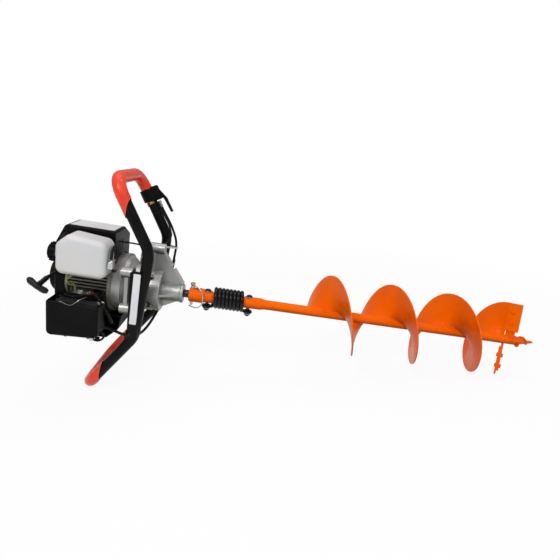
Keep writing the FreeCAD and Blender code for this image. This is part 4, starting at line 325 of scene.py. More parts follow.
def place_piece(bm, name, material, body=None, sharp=35):
    """The finished mesh, laid down, as a piece that moves with a body if one is given."""
    bmesh.ops.remove_doubles(bm, verts=bm.verts, dist=0.001)
    bmesh.ops.dissolve_degenerate(bm, edges=bm.edges, dist=0.0005)
    bmesh.ops.recalc_face_normals(bm, faces=bm.faces)
    bmesh.ops.transform(bm, matrix=LAID, verts=bm.verts)
    mesh = bpy.data.meshes.new(name)
    bm.to_mesh(mesh)
    bm.free()
    mesh.shade_smooth()
    mesh.set_sharp_from_angle(angle=math.radians(sharp))
    mesh.materials.append(material)
    piece = bpy.data.objects.new(name, mesh)
    bpy.context.scene.collection.objects.link(piece)
    if body:
        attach(piece, body)
    return piece


def round_the_axis(x, radius, turn):
    """A point at a radius from the drilling axis, turned from the tank side in degrees."""
    angle = math.radians(turn)
    return (x, -radius * math.sin(angle), radius * math.cos(angle))


# Painted shade: the dark orange underside colour darkens the downward faces of tube, flighting and blades.
orange_paint = make_finish(
    "orange_paint", (0.96, 0.15, 0.0005), (0.91, 0.125, 0.0003), STEEL, rough=(0.22, 0.36),
    relief=0.00004, grain=(14, 350), rub=(0.0014, 0.22), underside_shade=(0.4, 0.065, 0.001), Specular_IOR_Level=0.06)
dress(orange_paint, "auger_tube", "auger_flighting")

for name, face in (("front_weld", FLIGHT_THICK + WELD_GAP), ("back_weld", -WELD_GAP)):
    bm = bmesh.new()
    points = []
    for i in range(int(FLIGHT_LENGTH / WELD_STEP)):
        x = FLIGHT_START + WELD_LEAD + i * WELD_STEP
        turn = (x - FLIGHT_TOP) / FLIGHT_PITCH * 360
        swell = 0.35 * math.sin(i * 2.3) + 0.2 * math.sin(i * 5.1)
        points.append(round_the_axis(x + face, TUBE_RADIUS + WELD_RISE + swell * 0.5, turn))
    ripple = [1 + 0.18 * math.sin(i * 1.9) for i in range(len(points))]
    add_wire(bm, points, WELD_RADIUS, thickness=ripple)
    place_piece(bm, name, orange_paint, "auger")

# Cutting head: two ground blades bolted to plates on the tube, and a threaded point that
# draws the auger into the ice. Sprayed with the auger, bolts and all.

dress(orange_paint, "blade_carriers", "cutting_blades", "screw_point", "blade_bolts")

# Drive socket: an orange sleeve on the output shaft, held by a pin whose wire ring snaps
# round it. Two short ends of the binding wire stand up beside the pin.

SOCKET_RADIUS = 18.5
BINDING_RADIUS = 0.7

dress(orange_paint, "drive_socket")
zinc_plate = make_finish(
    "zinc_plate", (0.62, 0.61, 0.58), (0.5, 0.49, 0.47), (0.25, 0.2, 0.16), rough=(0.24, 0.42),
    relief=0.00003, grain=(40, 900), rub=(0.0006, 0.1), metal=1.0)
dress(zinc_plate, "lock_pin", "lock_ring")
oiled_shaft = make_finish(
    "oiled_shaft", (0.02, 0.02, 0.022), (0.012, 0.012, 0.013), STEEL, rough=(0.2, 0.34),
    relief=0.00002, grain=(40, 900), rub=(0.0008, 0.2), metal=0.4)
dress(oiled_shaft, "output_shaft")

black_wire = make_finish(
    "black_wire", (0.015, 0.015, 0.016), (0.03, 0.03, 0.03), (0.1, 0.1, 0.1), rough=(0.3, 0.5),
    relief=0.00002, grain=(60, 1200), under_metal=0.0)
bm = bmesh.new()
for start, lift, reach in ((20, 0.8, 7), (24, 1.4, 9)):
    crest = SOCKET_RADIUS + lift
    add_wire(bm, [(start, -7, SOCKET_RADIUS - 1.8), (start + 2, -7, crest), (start + reach, -4, crest + 0.6),
                  (start + reach + 3, -1, SOCKET_RADIUS + 0.9)], BINDING_RADIUS)
place_piece(bm, "binding_wire", black_wire, "drive")

# Shock coupling: a coil of heavy wire in gloss black paint between socket and collar. Its
# hooked ends are clamped by two bolts with plated washers.

SPRING_START = 64
SPRING_END = 145
SPRING_RADIUS = 22.6
SPRING_TURNS = 8
STEPS_PER_TURN = 40
WIRE_RADIUS = 5
HOOK_RADIUS = 4.3
END_GAP = 3
BOLT_INSET = 12
EYE_DROP = 25
EYE_RADIUS = 8.6
EYE_WIRE_RADIUS = 3.7
EYE_CORNERS = 10
WASHER_BORE = 7.25
WASHER_RADIUS = 9.3
WASHER_THICK = 1.5
WASHER_EDGE = 0.4
WASHER_SINK = 0.3
LOWER_SEAT = -EYE_DROP - 5


def spin_section(bm, section, centre, axis, steps=32, closed=True):
    """A half section of (radius, height) corners turned right round an axis."""
    axis = Vector(axis).normalized()
    side = axis.orthogonal().normalized()
    corners = [bm.verts.new(Vector(centre) + side * radius + axis * height) for radius, height in section]
    ends = corners[1:] + (corners[:1] if closed else [])
    edges = [bm.edges.new(pair) for pair in zip(corners, ends)]
    bmesh.ops.spin(bm, geom=corners + edges, cent=centre, axis=axis, angle=2 * math.pi, steps=steps,
                   use_merge=True)


def close_openings(bm):
    """Fill every open edge loop with a face."""
    bmesh.ops.holes_fill(bm, edges=[edge for edge in bm.edges if edge.is_boundary], sides=0)


spring_paint = make_finish(
    "spring_paint", (0.004, 0.004, 0.004), (0.007, 0.007, 0.007), STEEL, rough=(0.16, 0.28),
    relief=0.00003, grain=(30, 500), rub=(0.001, 0.1), Specular_IOR_Level=0.25)
bm = bmesh.new()
pitch = (SPRING_END - SPRING_START - 2 * END_GAP) / SPRING_TURNS
ring = bmesh.ops.create_circle(bm, segments=18, radius=WIRE_RADIUS)["verts"]
lean = math.atan2(pitch, 2 * math.pi * SPRING_RADIUS)
seat = (Matrix.Translation((SPRING_START + END_GAP, 0, -SPRING_RADIUS)) @ Matrix.Rotation(-lean, 4, "Z")
        @ Matrix.Rotation(math.pi / 2, 4, "X"))
bmesh.ops.transform(bm, matrix=seat, verts=ring)
bmesh.ops.spin(bm, geom=ring + bm.edges[:], cent=(0, 0, 0), axis=(1, 0, 0), angle=2 * math.pi * SPRING_TURNS,
               steps=round(STEPS_PER_TURN * SPRING_TURNS), dvec=(pitch / STEPS_PER_TURN, 0, 0))
close_openings(bm)
eye = [(EYE_RADIUS + EYE_WIRE_RADIUS * math.cos(turn), EYE_WIRE_RADIUS * math.sin(turn))
       for turn in (2 * math.pi * corner / EYE_CORNERS for corner in range(EYE_CORNERS))]
for bolt, end, side in ((SPRING_START - BOLT_INSET, SPRING_START + END_GAP, 1),
                        (SPRING_END + BOLT_INSET, SPRING_END - END_GAP, -1)):
    spin_section(bm, eye, (bolt, 0, -EYE_DROP), (0, 0, 1), steps=28)
    add_wire(bm, [(bolt + side * 8, 0, -EYE_DROP), (end - side * 5, 0, -EYE_DROP),
                  (end, 0, -SPRING_RADIUS - 1), (end + side * 2, side * 6, -SPRING_RADIUS + 1)],
             HOOK_RADIUS, sides=3)
spring = place_piece(bm, "shock_spring_coil", spring_paint, sharp=60)
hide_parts("shock_spring")
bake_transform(spring)

black_bolt = make_finish(
    "black_bolt", (0.02, 0.02, 0.021), (0.012, 0.012, 0.013), STEEL, rough=(0.28, 0.45),
    relief=0.00003, grain=(50, 900), rub=(0.0006, 0.2), metal=0.5)
dress(black_bolt, "auger_bolt", "drive_bolt")

for name, bolt, upper_seat, body in (("drive_washers", SPRING_START - BOLT_INSET, 15.5, "drive"),
                                     ("auger_washers", SPRING_END + BOLT_INSET, 15, "auger")):
    bm = bmesh.new()
    for seat in (upper_seat, LOWER_SEAT):
        low = seat - WASHER_SINK
        high = low + WASHER_THICK
        flat = WASHER_RADIUS - WASHER_EDGE
        washer = [(WASHER_BORE, low), (flat, low), (WASHER_RADIUS, low + WASHER_EDGE),
                  (WASHER_RADIUS, high - WASHER_EDGE), (flat, high), (WASHER_BORE, high)]
        spin_section(bm, washer, (bolt, 0, 0), (0, 0, 1))
    place_piece(bm, name, zinc_plate, body)

# Gearbox: an aluminium die casting, shot-blasted and lacquered, with a machined nose. The
# cover and the housing are held together by plated screws with hexagon sockets.

DRUM_BACK = -104
DRUM_RADIUS = 49
DRUM_TURNS = (60, 128, 212, 275)
BULGE_RADIUS = 37.5
BULGE_PLACE = (33.1, -8.2)
BULGE_TURNS = (48, -62)
HEAD_SEAT = DRUM_BACK + 19.8
HEAD_RADIUS = 5.1
HEAD_HEIGHT = 5
HEAD_SOFT = 0.7
HEAD_OUT = 3.6
SOCKET_DEPTH = 3
EAR_FACE = -109.5
EAR_OUT = 80
EAR_PLACES = (61, -27)
EAR_HEAD_HEIGHT = 4


def add_socket_screw(bm, seat, centre, radius, height):
    """A cap screw along X, its head softened at the rim and sunk by a hexagon socket."""
    face = seat + height
    land = radius * 0.62
    key = radius * 0.5
    rim = [(radius, seat), (radius, face - HEAD_SOFT), (radius - HEAD_SOFT, face), (land, face)]
    spin_section(bm, rim, (0, *centre), (1, 0, 0), steps=24, closed=False)
    loops = []
    for segments, reach, depth, cap in ((24, land, face, False), (6, key, face - 0.2, False),
                                        (6, key, face - SOCKET_DEPTH, True)):
        made = bmesh.ops.create_circle(bm, segments=segments, radius=reach, cap_ends=cap)["verts"]
        bmesh.ops.rotate(bm, cent=(0, 0, 0), matrix=Matrix.Rotation(math.pi / 2, 3, "Y"), verts=made)
        bmesh.ops.translate(bm, vec=(depth, *centre), verts=made)
        loops.append(list(dict.fromkeys(edge for vert in made for edge in vert.link_edges)))
    for first, second in zip(loops, loops[1:]):
        bmesh.ops.bridge_loops(bm, edges=first + second)


# Painted shade and painted reflection: the olive underside colour darkens the casting's downward faces.
cast_alloy = make_finish(
    "cast_alloy", (0.56, 0.56, 0.56), (0.38, 0.38, 0.375), (0.75, 0.75, 0.74), rough=(0.3, 0.48),
    relief=0.00016, grain=(30, 420), rub=(0.0018, 0.4), metal=0.7, underside_shade=(0.07, 0.075, 0.05),
    Specular_IOR_Level=0.3)
dress(cast_alloy, "gearbox_housing", "gearbox_cover")
black_rubber = make_finish(
    "black_rubber", (0.008, 0.008, 0.008), (0.014, 0.014, 0.014), (0.03, 0.03, 0.03), rough=(0.4, 0.6),
    relief=0.00004, grain=(30, 900), rub=(0.0008, 0.15), under_metal=0.0, Specular_IOR_Level=0.12)
dress(black_rubber, "output_seal")
machined_steel = make_finish(
    "machined_steel", (0.56, 0.55, 0.53), (0.45, 0.44, 0.43), (0.7, 0.7, 0.7), rough=(0.2, 0.36),
    relief=0.00002, grain=(30, 1500), rub=(0.0008, 0.3), metal=1.0)
dress(machined_steel, "output_gear", "layshaft", "layshaft_gear", "pinion_shaft", "bearings")
dress(black_bolt, "m6_screws")

bm = bmesh.new()
heads = [(0, 0, DRUM_RADIUS, turn) for turn in DRUM_TURNS]
heads += [(*BULGE_PLACE, BULGE_RADIUS, turn) for turn in BULGE_TURNS]
for y, z, rim, turn in heads:
    reach = rim + HEAD_OUT
    spot = (y + reach * math.cos(math.radians(turn)), z + reach * math.sin(math.radians(turn)))
    add_socket_screw(bm, HEAD_SEAT, spot, HEAD_RADIUS, HEAD_HEIGHT)
for y in (-EAR_OUT, EAR_OUT):
    for z in EAR_PLACES:
        add_socket_screw(bm, EAR_FACE, (y, z), HEAD_RADIUS, EAR_HEAD_HEIGHT)
place_piece(bm, "socket_screws", zinc_plate, "machine")

# Engine: cast crankcase and cylinder, the crankcase and the fins darkened by painted shade, the plug and its
# lead underneath. The muffler on the far side is pressed from steel sheet.

LEAD_RADIUS = 3.6

# Painted shade: a darker copy of the cast alloy for the crankcase under the tank, with olive painted shade
# on its undersides.
shaded_engine_alloy = make_finish(
    "shaded_engine_alloy", (0.36, 0.35, 0.33), (0.22, 0.21, 0.19), (0.55, 0.55, 0.54), rough=(0.4, 0.6),
    relief=0.00014, grain=(28, 420), rub=(0.0014, 0.3), metal=0.6, underside_shade=(0.09, 0.085, 0.06),
    Specular_IOR_Level=0.3)
dress(shaded_engine_alloy, "crankcase")
dress(cast_alloy, "clutch_housing")
dress(machined_steel, "clutch_drum", "clutch_hub_and_shoes", "crankshaft")
# Painted shade: the cylinder fins are painted dark brown for the shade that lies on them.
shaded_fins = make_finish(
    "shaded_fins", (0.2, 0.175, 0.13), (0.1, 0.085, 0.06), (0.4, 0.38, 0.34), rough=(0.5, 0.7),
    relief=0.00014, grain=(40, 420), rub=(0.001, 0.3), metal=0.5)
dress(shaded_fins, "cylinder")
dress(zinc_plate, "spark_plug")
muffler_steel = make_finish(
    "muffler_steel", (0.09, 0.085, 0.08), (0.05, 0.045, 0.042), (0.3, 0.25, 0.2), rough=(0.4, 0.62),
    relief=0.00006, grain=(30, 500), metal=0.5)
dress(muffler_steel, "muffler")
satin_plastic = make_finish(
    "satin_plastic", (0.003, 0.0036, 0.003), (0.006, 0.0066, 0.006), (0.03, 0.03, 0.03), rough=(0.36, 0.52),
    relief=0.00005, grain=(16, 1600), rub=(0.0012, 0.22), under_metal=0.0, Specular_IOR_Level=0.07)
dress(satin_plastic, "cylinder_shroud")

bm = bmesh.new()
add_wire(bm, [(-196, -84, 1), (-188, -86, -5), (-179, -86, -18), (-170, -84, -34), (-162, -78, -56),
              (-160, -62, -76)], LEAD_RADIUS, sides=3)
place_piece(bm, "plug_lead", black_rubber, "machine")

# Carburettor: a bright die casting with brass and steel fittings between the manifold and
# the air filter, joined by the fuel hose and a thin red wire.

CYLINDER_PLACE = -233.5
CARB_MIDDLE = -64
PORT_HEIGHT = -22
RETURN_SPRING_RADIUS = 1.0
EARTH_WIRE_RADIUS = 1.5


def by_the_port(x, y, z):
    """A place measured from the middle of the carburettor's port."""
    return (CYLINDER_PLACE + x, CARB_MIDDLE + y, PORT_HEIGHT + z)


def join_in(bm, part, place):
    """Put a small mesh into a larger one at a place."""
    bmesh.ops.transform(part, matrix=place, verts=part.verts)
    holder = bpy.data.meshes.new("holder")
    part.to_mesh(holder)
    part.free()
    bm.from_mesh(holder)
    bpy.data.meshes.remove(holder)


def pick(made, kind):
    """The vertices or the edges among what an operator made."""
    return [item for item in made if isinstance(item, kind)]


def add_hexagon(bm, centre, axis, radius, height, bore=0.0):
    """A nut or a screw head standing on a point, its upper corners softened."""
    part = bmesh.new()
    bmesh.ops.create_circle(part, segments=6, radius=radius, cap_ends=True)
    risen = bmesh.ops.extrude_face_region(part, geom=part.faces[:])["geom"]
    bmesh.ops.translate(part, vec=(0, 0, height), verts=pick(risen, bmesh.types.BMVert))
    upper = [edge for edge in part.edges if min(vert.co.z for vert in edge.verts) > height * 0.9]
    bmesh.ops.bevel(part, geom=upper, offset=radius * 0.14, offset_type="OFFSET", segments=2, affect="EDGES",
                    profile=0.5, material=-1)
    if bore:
        top = [face for face in part.faces if face.normal.z > 0.9]
        bmesh.ops.inset_region(part, faces=top, thickness=radius - bore, depth=0)
        sunk = list(dict.fromkeys(vert for face in top for vert in face.verts))
        bmesh.ops.translate(part, vec=(0, 0, -height * 0.5), verts=sunk)
    turn = Vector(axis).to_track_quat("Z", "Y").to_matrix().to_4x4()
    join_in(bm, part, Matrix.Translation(centre) @ turn)


def add_block(bm, size, centre, soft):
    """A block with rounded edges."""
    part = bmesh.new()
    bmesh.ops.create_cube(part, size=1.0)
    bmesh.ops.scale(part, vec=size, verts=part.verts)
    bmesh.ops.bevel(part, geom=part.edges[:], offset=soft, offset_type="OFFSET", segments=3, affect="EDGES",
                    profile=0.5, material=-1, clamp_overlap=True)
    join_in(bm, part, Matrix.Translation(centre))


bright_alloy = make_finish(
    "bright_alloy", (0.72, 0.72, 0.72), (0.55, 0.55, 0.55), (0.85, 0.85, 0.85), rough=(0.22, 0.4),
    relief=0.00008, grain=(60, 700), rub=(0.0008, 0.4), metal=0.9)
dress(bright_alloy, "carburettor")
dress(cast_alloy, "inlet_manifold")
dress(zinc_plate, "throttle_arm", "choke_lever")
hose_plastic = make_finish(
    "hose_plastic", (0.42, 0.5, 0.08), (0.3, 0.38, 0.05), (0.6, 0.65, 0.3), rough=(0.2, 0.35),
    relief=0.00002, grain=(40, 900), under_metal=0.0, Transmission_Weight=0.3)
dress(hose_plastic, "fuel_hose")

bm = bmesh.new()
for x, y in ((-12, 8), (12, 8), (-12, -8), (12, -8)):
    add_hexagon(bm, by_the_port(x, y, 11), (0, 0, 1), radius=2.9, height=3.2, bore=1.2)
add_hexagon(bm, by_the_port(0, 0, 16), (0, 0, 1), radius=6, height=4, bore=2.4)
for x in (-14, 14):
    add_hexagon(bm, by_the_port(x, -12.5, 9), (0, -1, 0.3), radius=3.2, height=5, bore=1.3)
add_wire(bm, [by_the_port(20, -10, 6), by_the_port(27, -12, 10), by_the_port(31, -11, 4),
              by_the_port(24, -9, -1), by_the_port(20, -9, -2)], RETURN_SPRING_RADIUS)
place_piece(bm, "carburettor_fittings", zinc_plate, "machine")

brass = make_finish(
    "brass", (0.6, 0.38, 0.13), (0.45, 0.27, 0.09), (0.75, 0.55, 0.25), rough=(0.25, 0.42),
    relief=0.00003, grain=(50, 900), rub=(0.0006, 0.3), metal=1.0)
bm = bmesh.new()
for y in (-3.8, -9.6):
    add_hexagon(bm, by_the_port(21, y, 6), (1, 0, 0), radius=2.6, height=7, bore=1.0)
place_piece(bm, "mixture_screws", brass, "machine")

red_sleeve = make_finish(
    "red_sleeve", (0.42, 0.02, 0.018), (0.3, 0.012, 0.01), (0.6, 0.2, 0.2), rough=(0.3, 0.45),
    relief=0.00003, grain=(60, 900), under_metal=0.0)
bm = bmesh.new()
add_wire(bm, [(-214, -70, -18), (-212, -72, -9), (-206, -73, -3), (-198, -73, -4), (-192, -72, -11),
              (-188, -68, -22)], EARTH_WIRE_RADIUS)
place_piece(bm, "earth_wire", red_sleeve, "machine")

bm = bmesh.new()
add_block(bm, (9, 4, 8), (-183, -88.5, -24), soft=1.6)
add_block(bm, (7, 4, 6), (-174, -88.5, -17), soft=1.4)
add_hexagon(bm, (-183, -90, -20), (0, -1, 0.5), radius=3.4, height=3, bore=1.2)
place_piece(bm, "lead_clips", bright_alloy, "machine")

# Primer bulb: a soft black rubber dome under the carburettor that is pressed flat by a
# thumb before starting.

BULB_SEAT = -21.2

bm = bmesh.new()
dome = [(8.4, BULB_SEAT), (8.4, -22.4), (7.6, -25), (5.6, -27.8), (3, -29.4), (0, -30)]
spin_section(bm, dome, by_the_port(0, 0, 0), (0, 0, 1), steps=28, closed=False)
close_openings(bm)
bulb = place_piece(bm, "primer_dome", black_rubber, "machine")
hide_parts("primer_bulb")
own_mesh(bulb)

# Air filter: a box moulded in satin black over a flat base, open at the top, with the foam
# block standing in it. A wire clip closes it in front and a steel strip runs underneath.

BOX_FLOOR = -96
BOX_TOP = -10
FOAM_SIZE = (91, 20, 66)
FOAM_MIDDLE = (-227, -93, -51)
FOAM_SOFT = 3
CLIP_RADIUS = 0.55
HOSE_RADIUS = 2.2
THIN_HOSE_RADIUS = 1.6
LOOP_RADIUS = 2.6

dress(satin_plastic, "air_filter_box", "air_filter_base")
filter_foam = make_finish(
    "filter_foam", (0.03, 0.03, 0.033), (0.015, 0.015, 0.016), (0.008, 0.008, 0.008), rough=(0.8, 0.95),
    relief=0.0006, grain=(20, 900), under_metal=0.0, speck=0.8)
bm = bmesh.new()
add_block(bm, FOAM_SIZE, FOAM_MIDDLE, FOAM_SOFT)
foam = place_piece(bm, "foam_block", filter_foam, "machine")
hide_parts("filter_element")

bm = bmesh.new()
add_wire(bm, [(-258, -123, BOX_TOP - 4), (-252, -127, BOX_TOP + 1), (-243, -126, BOX_TOP - 4),
              (-236, -125, BOX_TOP - 8), (-228, -125, BOX_TOP - 7), (-219, -124, BOX_TOP),
              (-212, -118, BOX_TOP + 7), (-205, -106, BOX_TOP + 8)], CLIP_RADIUS)
place_piece(bm, "box_clip", zinc_plate, "machine")

bm = bmesh.new()
add_wire(bm, [(-262, -104, BOX_TOP + 3), (-255, -112, BOX_TOP + 6), (-240, -116, BOX_TOP + 3),
              (-226, -117, BOX_TOP + 1), (-212, -112, BOX_TOP + 5), (-206, -98, BOX_TOP + 6)],
         THIN_HOSE_RADIUS)
add_wire(bm, [(-254, -98, BOX_TOP + 5), (-246, -106, BOX_TOP + 9), (-234, -108, BOX_TOP + 6),
              (-221, -104, BOX_TOP + 8), (-214, -94, BOX_TOP + 8)], HOSE_RADIUS)
place_piece(bm, "breather_hoses", black_rubber, "machine")

strip_steel = make_finish(
    "strip_steel", (0.3, 0.27, 0.2), (0.2, 0.17, 0.12), (0.6, 0.58, 0.5), rough=(0.35, 0.5),
    relief=0.00003, grain=(40, 900), metal=0.7)
bm = bmesh.new()
add_block(bm, (78, 14, 1.6), (-226, -106, BOX_FLOOR - 0.6), soft=0.7)
for x, y in ((-245, -112), (-196, -110)):
    add_hexagon(bm, (x, y, BOX_FLOOR - 1.4), (0, 0, -1), radius=4, height=3.2, bore=1.6)
place_piece(bm, "box_stay", strip_steel, "machine")

bm = bmesh.new()
add_block(bm, (9, 7, 11), (-187, -114, BOX_FLOOR - 1), soft=1.8)
place_piece(bm, "stay_clip", bright_alloy, "machine")

bm = bmesh.new()
add_wire(bm, [(-188, -110, BOX_FLOOR - 3), (-182, -110, BOX_FLOOR - 7), (-172, -108, BOX_FLOOR - 8),
              (-164, -106, BOX_FLOOR - 2), (-162, -105, BOX_FLOOR + 7), (-168, -104, BOX_FLOOR + 12),
              (-177, -103, BOX_FLOOR + 11)], LOOP_RADIUS)
add_block(bm, (10, 6, 9), (-177, -106, BOX_FLOOR - 4), soft=2)
place_piece(bm, "stay_loop", black_rubber, "machine")

# Fuel tank: blown from natural polyethylene, so it is milky, with its filler at the left
# end. A bright clip at its right end and a rubber strap from the hood hold it down.

TANK_RIGHT = -161
CLIP_MIDDLE = TANK_RIGHT + 8
STRAP_RADIUS = 3.4
LOWER_STRAP_RADIUS = 2.6

# Painted shade: the yellowish underside colour darkens the tank's downward faces.
tank_plastic = make_finish(
    "tank_plastic", (0.73, 0.73, 0.75), (0.65, 0.65, 0.665), (0.75, 0.75, 0.74), rough=(0.3, 0.42),
    relief=0.00004, grain=(10, 500), rub=(0.0016, 0.1), under_metal=0.0, underside_shade=(0.56, 0.54, 0.48),
    Specular_IOR_Level=0.35, Subsurface_Weight=0.2, Subsurface_Scale=0.01)
dress(tank_plastic, "fuel_tank")
dress(satin_plastic, "fuel_cap")

bm = bmesh.new()
add_block(bm, (11, 16, 17), (CLIP_MIDDLE, -108, 82), soft=2.6)
add_block(bm, (6, 18, 5), (CLIP_MIDDLE + 3, -108, 92), soft=1.8)
add_hexagon(bm, (CLIP_MIDDLE, -116, 79), (0, -1, 0), radius=3.6, height=2.6, bore=1.4)
place_piece(bm, "tank_clip", bright_alloy, "machine")

bm = bmesh.new()
add_wire(bm, [(CLIP_MIDDLE - 2, -84, 118), (CLIP_MIDDLE - 2, -96, 114), (CLIP_MIDDLE - 1, -104, 106),
              (CLIP_MIDDLE, -108, 94)], STRAP_RADIUS, sides=3)
add_wire(bm, [(CLIP_MIDDLE, -108, 74), (CLIP_MIDDLE + 2, -100, 66), (CLIP_MIDDLE + 1, -84, 60),
              (CLIP_MIDDLE - 2, -70, 58)], LOWER_STRAP_RADIUS, sides=3)
place_piece(bm, "tank_strap", black_rubber, "machine")

# Engine hood: a gloss black moulding over the engine with a large blank paper label on its
# flat top.

HOOD_TOP = 144
HOOD_LABEL_SIZE = (97, 58)
LABEL_THICK = 0.35
LABEL_LIFT = 0.02
LABEL_CORNER = 2.2


def add_label(bm, size, place, turn=Matrix()):
    """A thin label with rounded corners, lying on a face."""
    part = bmesh.new()
    bmesh.ops.create_grid(part, x_segments=1, y_segments=1, size=0.5)
    bmesh.ops.scale(part, vec=(*size, 1), verts=part.verts)
    bmesh.ops.bevel(part, geom=part.verts[:], offset=LABEL_CORNER, offset_type="OFFSET", segments=4,
                    affect="VERTICES", profile=0.5, material=-1)
    risen = bmesh.ops.extrude_face_region(part, geom=part.faces[:])["geom"]
    bmesh.ops.translate(part, vec=(0, 0, LABEL_THICK), verts=pick(risen, bmesh.types.BMVert))
    join_in(bm, part, Matrix.Translation(place) @ turn.to_4x4())


gloss_plastic = make_finish(
    "gloss_plastic", (0.004, 0.0046, 0.004), (0.007, 0.008, 0.007), (0.04, 0.04, 0.04), rough=(0.26, 0.4),
    relief=0.00002, grain=(12, 900), rub=(0.001, 0.2), under_metal=0.0, Specular_IOR_Level=0.04)
dress(gloss_plastic, "engine_hood")
label_film = make_finish(
    "label_film", (0.78, 0.78, 0.8), (0.7, 0.7, 0.73), (0.5, 0.5, 0.5), rough=(0.3, 0.42),
    relief=0.00001, grain=(18, 500), rub=(0.0006, 0.1), under_metal=0.0)
bm = bmesh.new()
add_label(bm, HOOD_LABEL_SIZE, (-218, -18, HOOD_TOP + LABEL_LIFT))
place_piece(bm, "hood_label", label_film, "machine")

# Recoil starter: a squarish fan cover with slots round its dome, a braided rope and a
# ribbed T handle of hard rubber.

REEL_PLACE = -304.5
REEL_RADIUS = 20
ENGINE_RISE = 8
ROPE_LENGTH = 58
ROPE_RADIUS = 1.75
ROPE_STEPS = 60
STRANDS = 3
STRAND_LAY = 9
PULL = Vector((REEL_PLACE, -116, 13))
BAR_WAY = Vector((0.84, 0, -0.54)).normalized()
BAR_REACH = 24
BAR_BOW = 5
BAR_RADIUS = 7
BAR_STATIONS = (-24, -21, -15, -8, 0, 8, 15, 21, 24)
BAR_SWELLS = (0.62, 0.92, 1.02, 0.94, 1.0, 0.94, 1.02, 0.92, 0.62)
BAR_RIBS = (-18, -14.5, -11, 11, 14.5, 18)
STEM_RADIUS = 5.2
STEM_STATIONS = (2, 14, 34, 53)
STEM_SWELLS = (1.5, 1.15, 0.95, 0.78)
STEM_RIBS = (20, 27, 34, 41)

dress(satin_plastic, "starter_housing", "starter_reel")
dress(cast_alloy, "flywheel_fan")

span = PULL - Vector((REEL_PLACE, 0, ENGINE_RISE))
lean = math.asin(REEL_RADIUS / span.length)
pull_way = Matrix.Rotation(lean, 3, "X") @ span.normalized()
rope_start = PULL - pull_way * math.sqrt(span.length ** 2 - REEL_RADIUS ** 2)

rope_braid = make_finish(
    "rope_braid", (0.03, 0.03, 0.03), (0.014, 0.014, 0.014), (0.12, 0.12, 0.12), rough=(0.7, 0.85),
    relief=0.0003, grain=(60, 1200), under_metal=0.0)
bm = bmesh.new()
side = pull_way.orthogonal().normalized()
other = pull_way.cross(side)
for strand in range(STRANDS):
    points = []
    for i in range(ROPE_STEPS + 1):
        along = ROPE_LENGTH * i / ROPE_STEPS
        turn = 2 * math.pi * (along / STRAND_LAY + strand / STRANDS)
        out = side * math.cos(turn) + other * math.sin(turn)
        points.append(rope_start + pull_way * along + out * ROPE_RADIUS * 0.45)
    add_wire(bm, points, ROPE_RADIUS * 0.62, sides=1)
rope = place_piece(bm, "pull_rope", rope_braid, sharp=80)
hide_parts("starter_rope")
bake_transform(rope)

handle_rubber = make_finish(
    "handle_rubber", (0.006, 0.0065, 0.007), (0.01, 0.0105, 0.011), (0.06, 0.06, 0.06), rough=(0.26, 0.4),
    relief=0.00006, grain=(30, 900), rub=(0.001, 0.3), under_metal=0.0, Specular_IOR_Level=0.3)


def along_the_bar(place):
    """A point on the bowed middle line of the T handle's bar."""
    return PULL + BAR_WAY * place - pull_way * BAR_BOW * (place / BAR_REACH) ** 2


bm = bmesh.new()
add_wire(bm, [along_the_bar(place) for place in BAR_STATIONS], BAR_RADIUS, sides=5, thickness=BAR_SWELLS)
bar_rib = [(5.8, -0.9), (7.5, -0.6), (7.7, 0), (7.5, 0.6), (5.8, 0.9)]
for place in BAR_RIBS:
    tangent = BAR_WAY - pull_way * 2 * BAR_BOW * place / BAR_REACH ** 2
    spin_section(bm, bar_rib, along_the_bar(place), tangent, steps=24)
add_wire(bm, [PULL - pull_way * place for place in STEM_STATIONS], STEM_RADIUS, sides=4,
         thickness=STEM_SWELLS)
stem_rib = [(3.2, -1.5), (5.4, -1.5), (5.9, 0), (5.4, 1.5), (3.2, 1.5)]
for place in STEM_RIBS:
    spin_section(bm, stem_rib, PULL - pull_way * place, pull_way, steps=24)
pull = place_piece(bm, "pull_handle", handle_rubber, "starter_pull", sharp=50)
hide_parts("starter_handle")

# Handle: two bent steel tubes in satin black, gripped by channel plates whose inner flange
# is screwed to the cast ears. A blank label strip is stuck along the near plate.

WEB_FACE = -105.5
STRIP_SIZE = (15.5, 122)
STRIP_PLACE = (-98.6, WEB_FACE, 8)
STRIP_LEAN = 1.8

dress(cast_alloy, "handle_mounts")
black_paint = make_finish(
    "black_paint", (0.003, 0.0033, 0.003), (0.006, 0.0063, 0.006), (0.05, 0.05, 0.05), rough=(0.26, 0.4),
    relief=0.00003, grain=(18, 600), rub=(0.0012, 0.14), under_metal=0.4, Specular_IOR_Level=0.1)
dress(black_paint, "upper_handle_tube", "lower_handle_tube", "handle_brackets")
bm = bmesh.new()
strip_turn = Matrix.Rotation(math.radians(STRIP_LEAN), 3, "Y") @ Matrix.Rotation(math.pi / 2, 3, "X")
add_label(bm, STRIP_SIZE, STRIP_PLACE, strip_turn)
place_piece(bm, "handle_label", label_film, "machine")

# Grips: soft foam sleeves with a skin, dipped bright orange-red, drawn over the bars and cut
# off on a slant. Each is a ring extruded along the arms and spun round the two corners.

BAR_HALF = 90
BAR_BEND = 40
GRIP_RADIUS = 14.5
SLEEVE_END = 125
UPPER_CORNER = (-160, 266)
UPPER_BEND = (-78.2, 118)
LOWER_CORNER = (-205, -240)
LOWER_BEND = (-99.3, -93)


def push_on(bm, ring, way):
    """Extrude a ring of edges along a straight way and give the new ring."""
    made = bmesh.ops.extrude_edge_only(bm, edges=ring)["geom"]
    bmesh.ops.translate(bm, vec=way, verts=pick(made, bmesh.types.BMVert))
    return [edge for edge in pick(made, bmesh.types.BMEdge) if len(edge.link_faces) == 1]


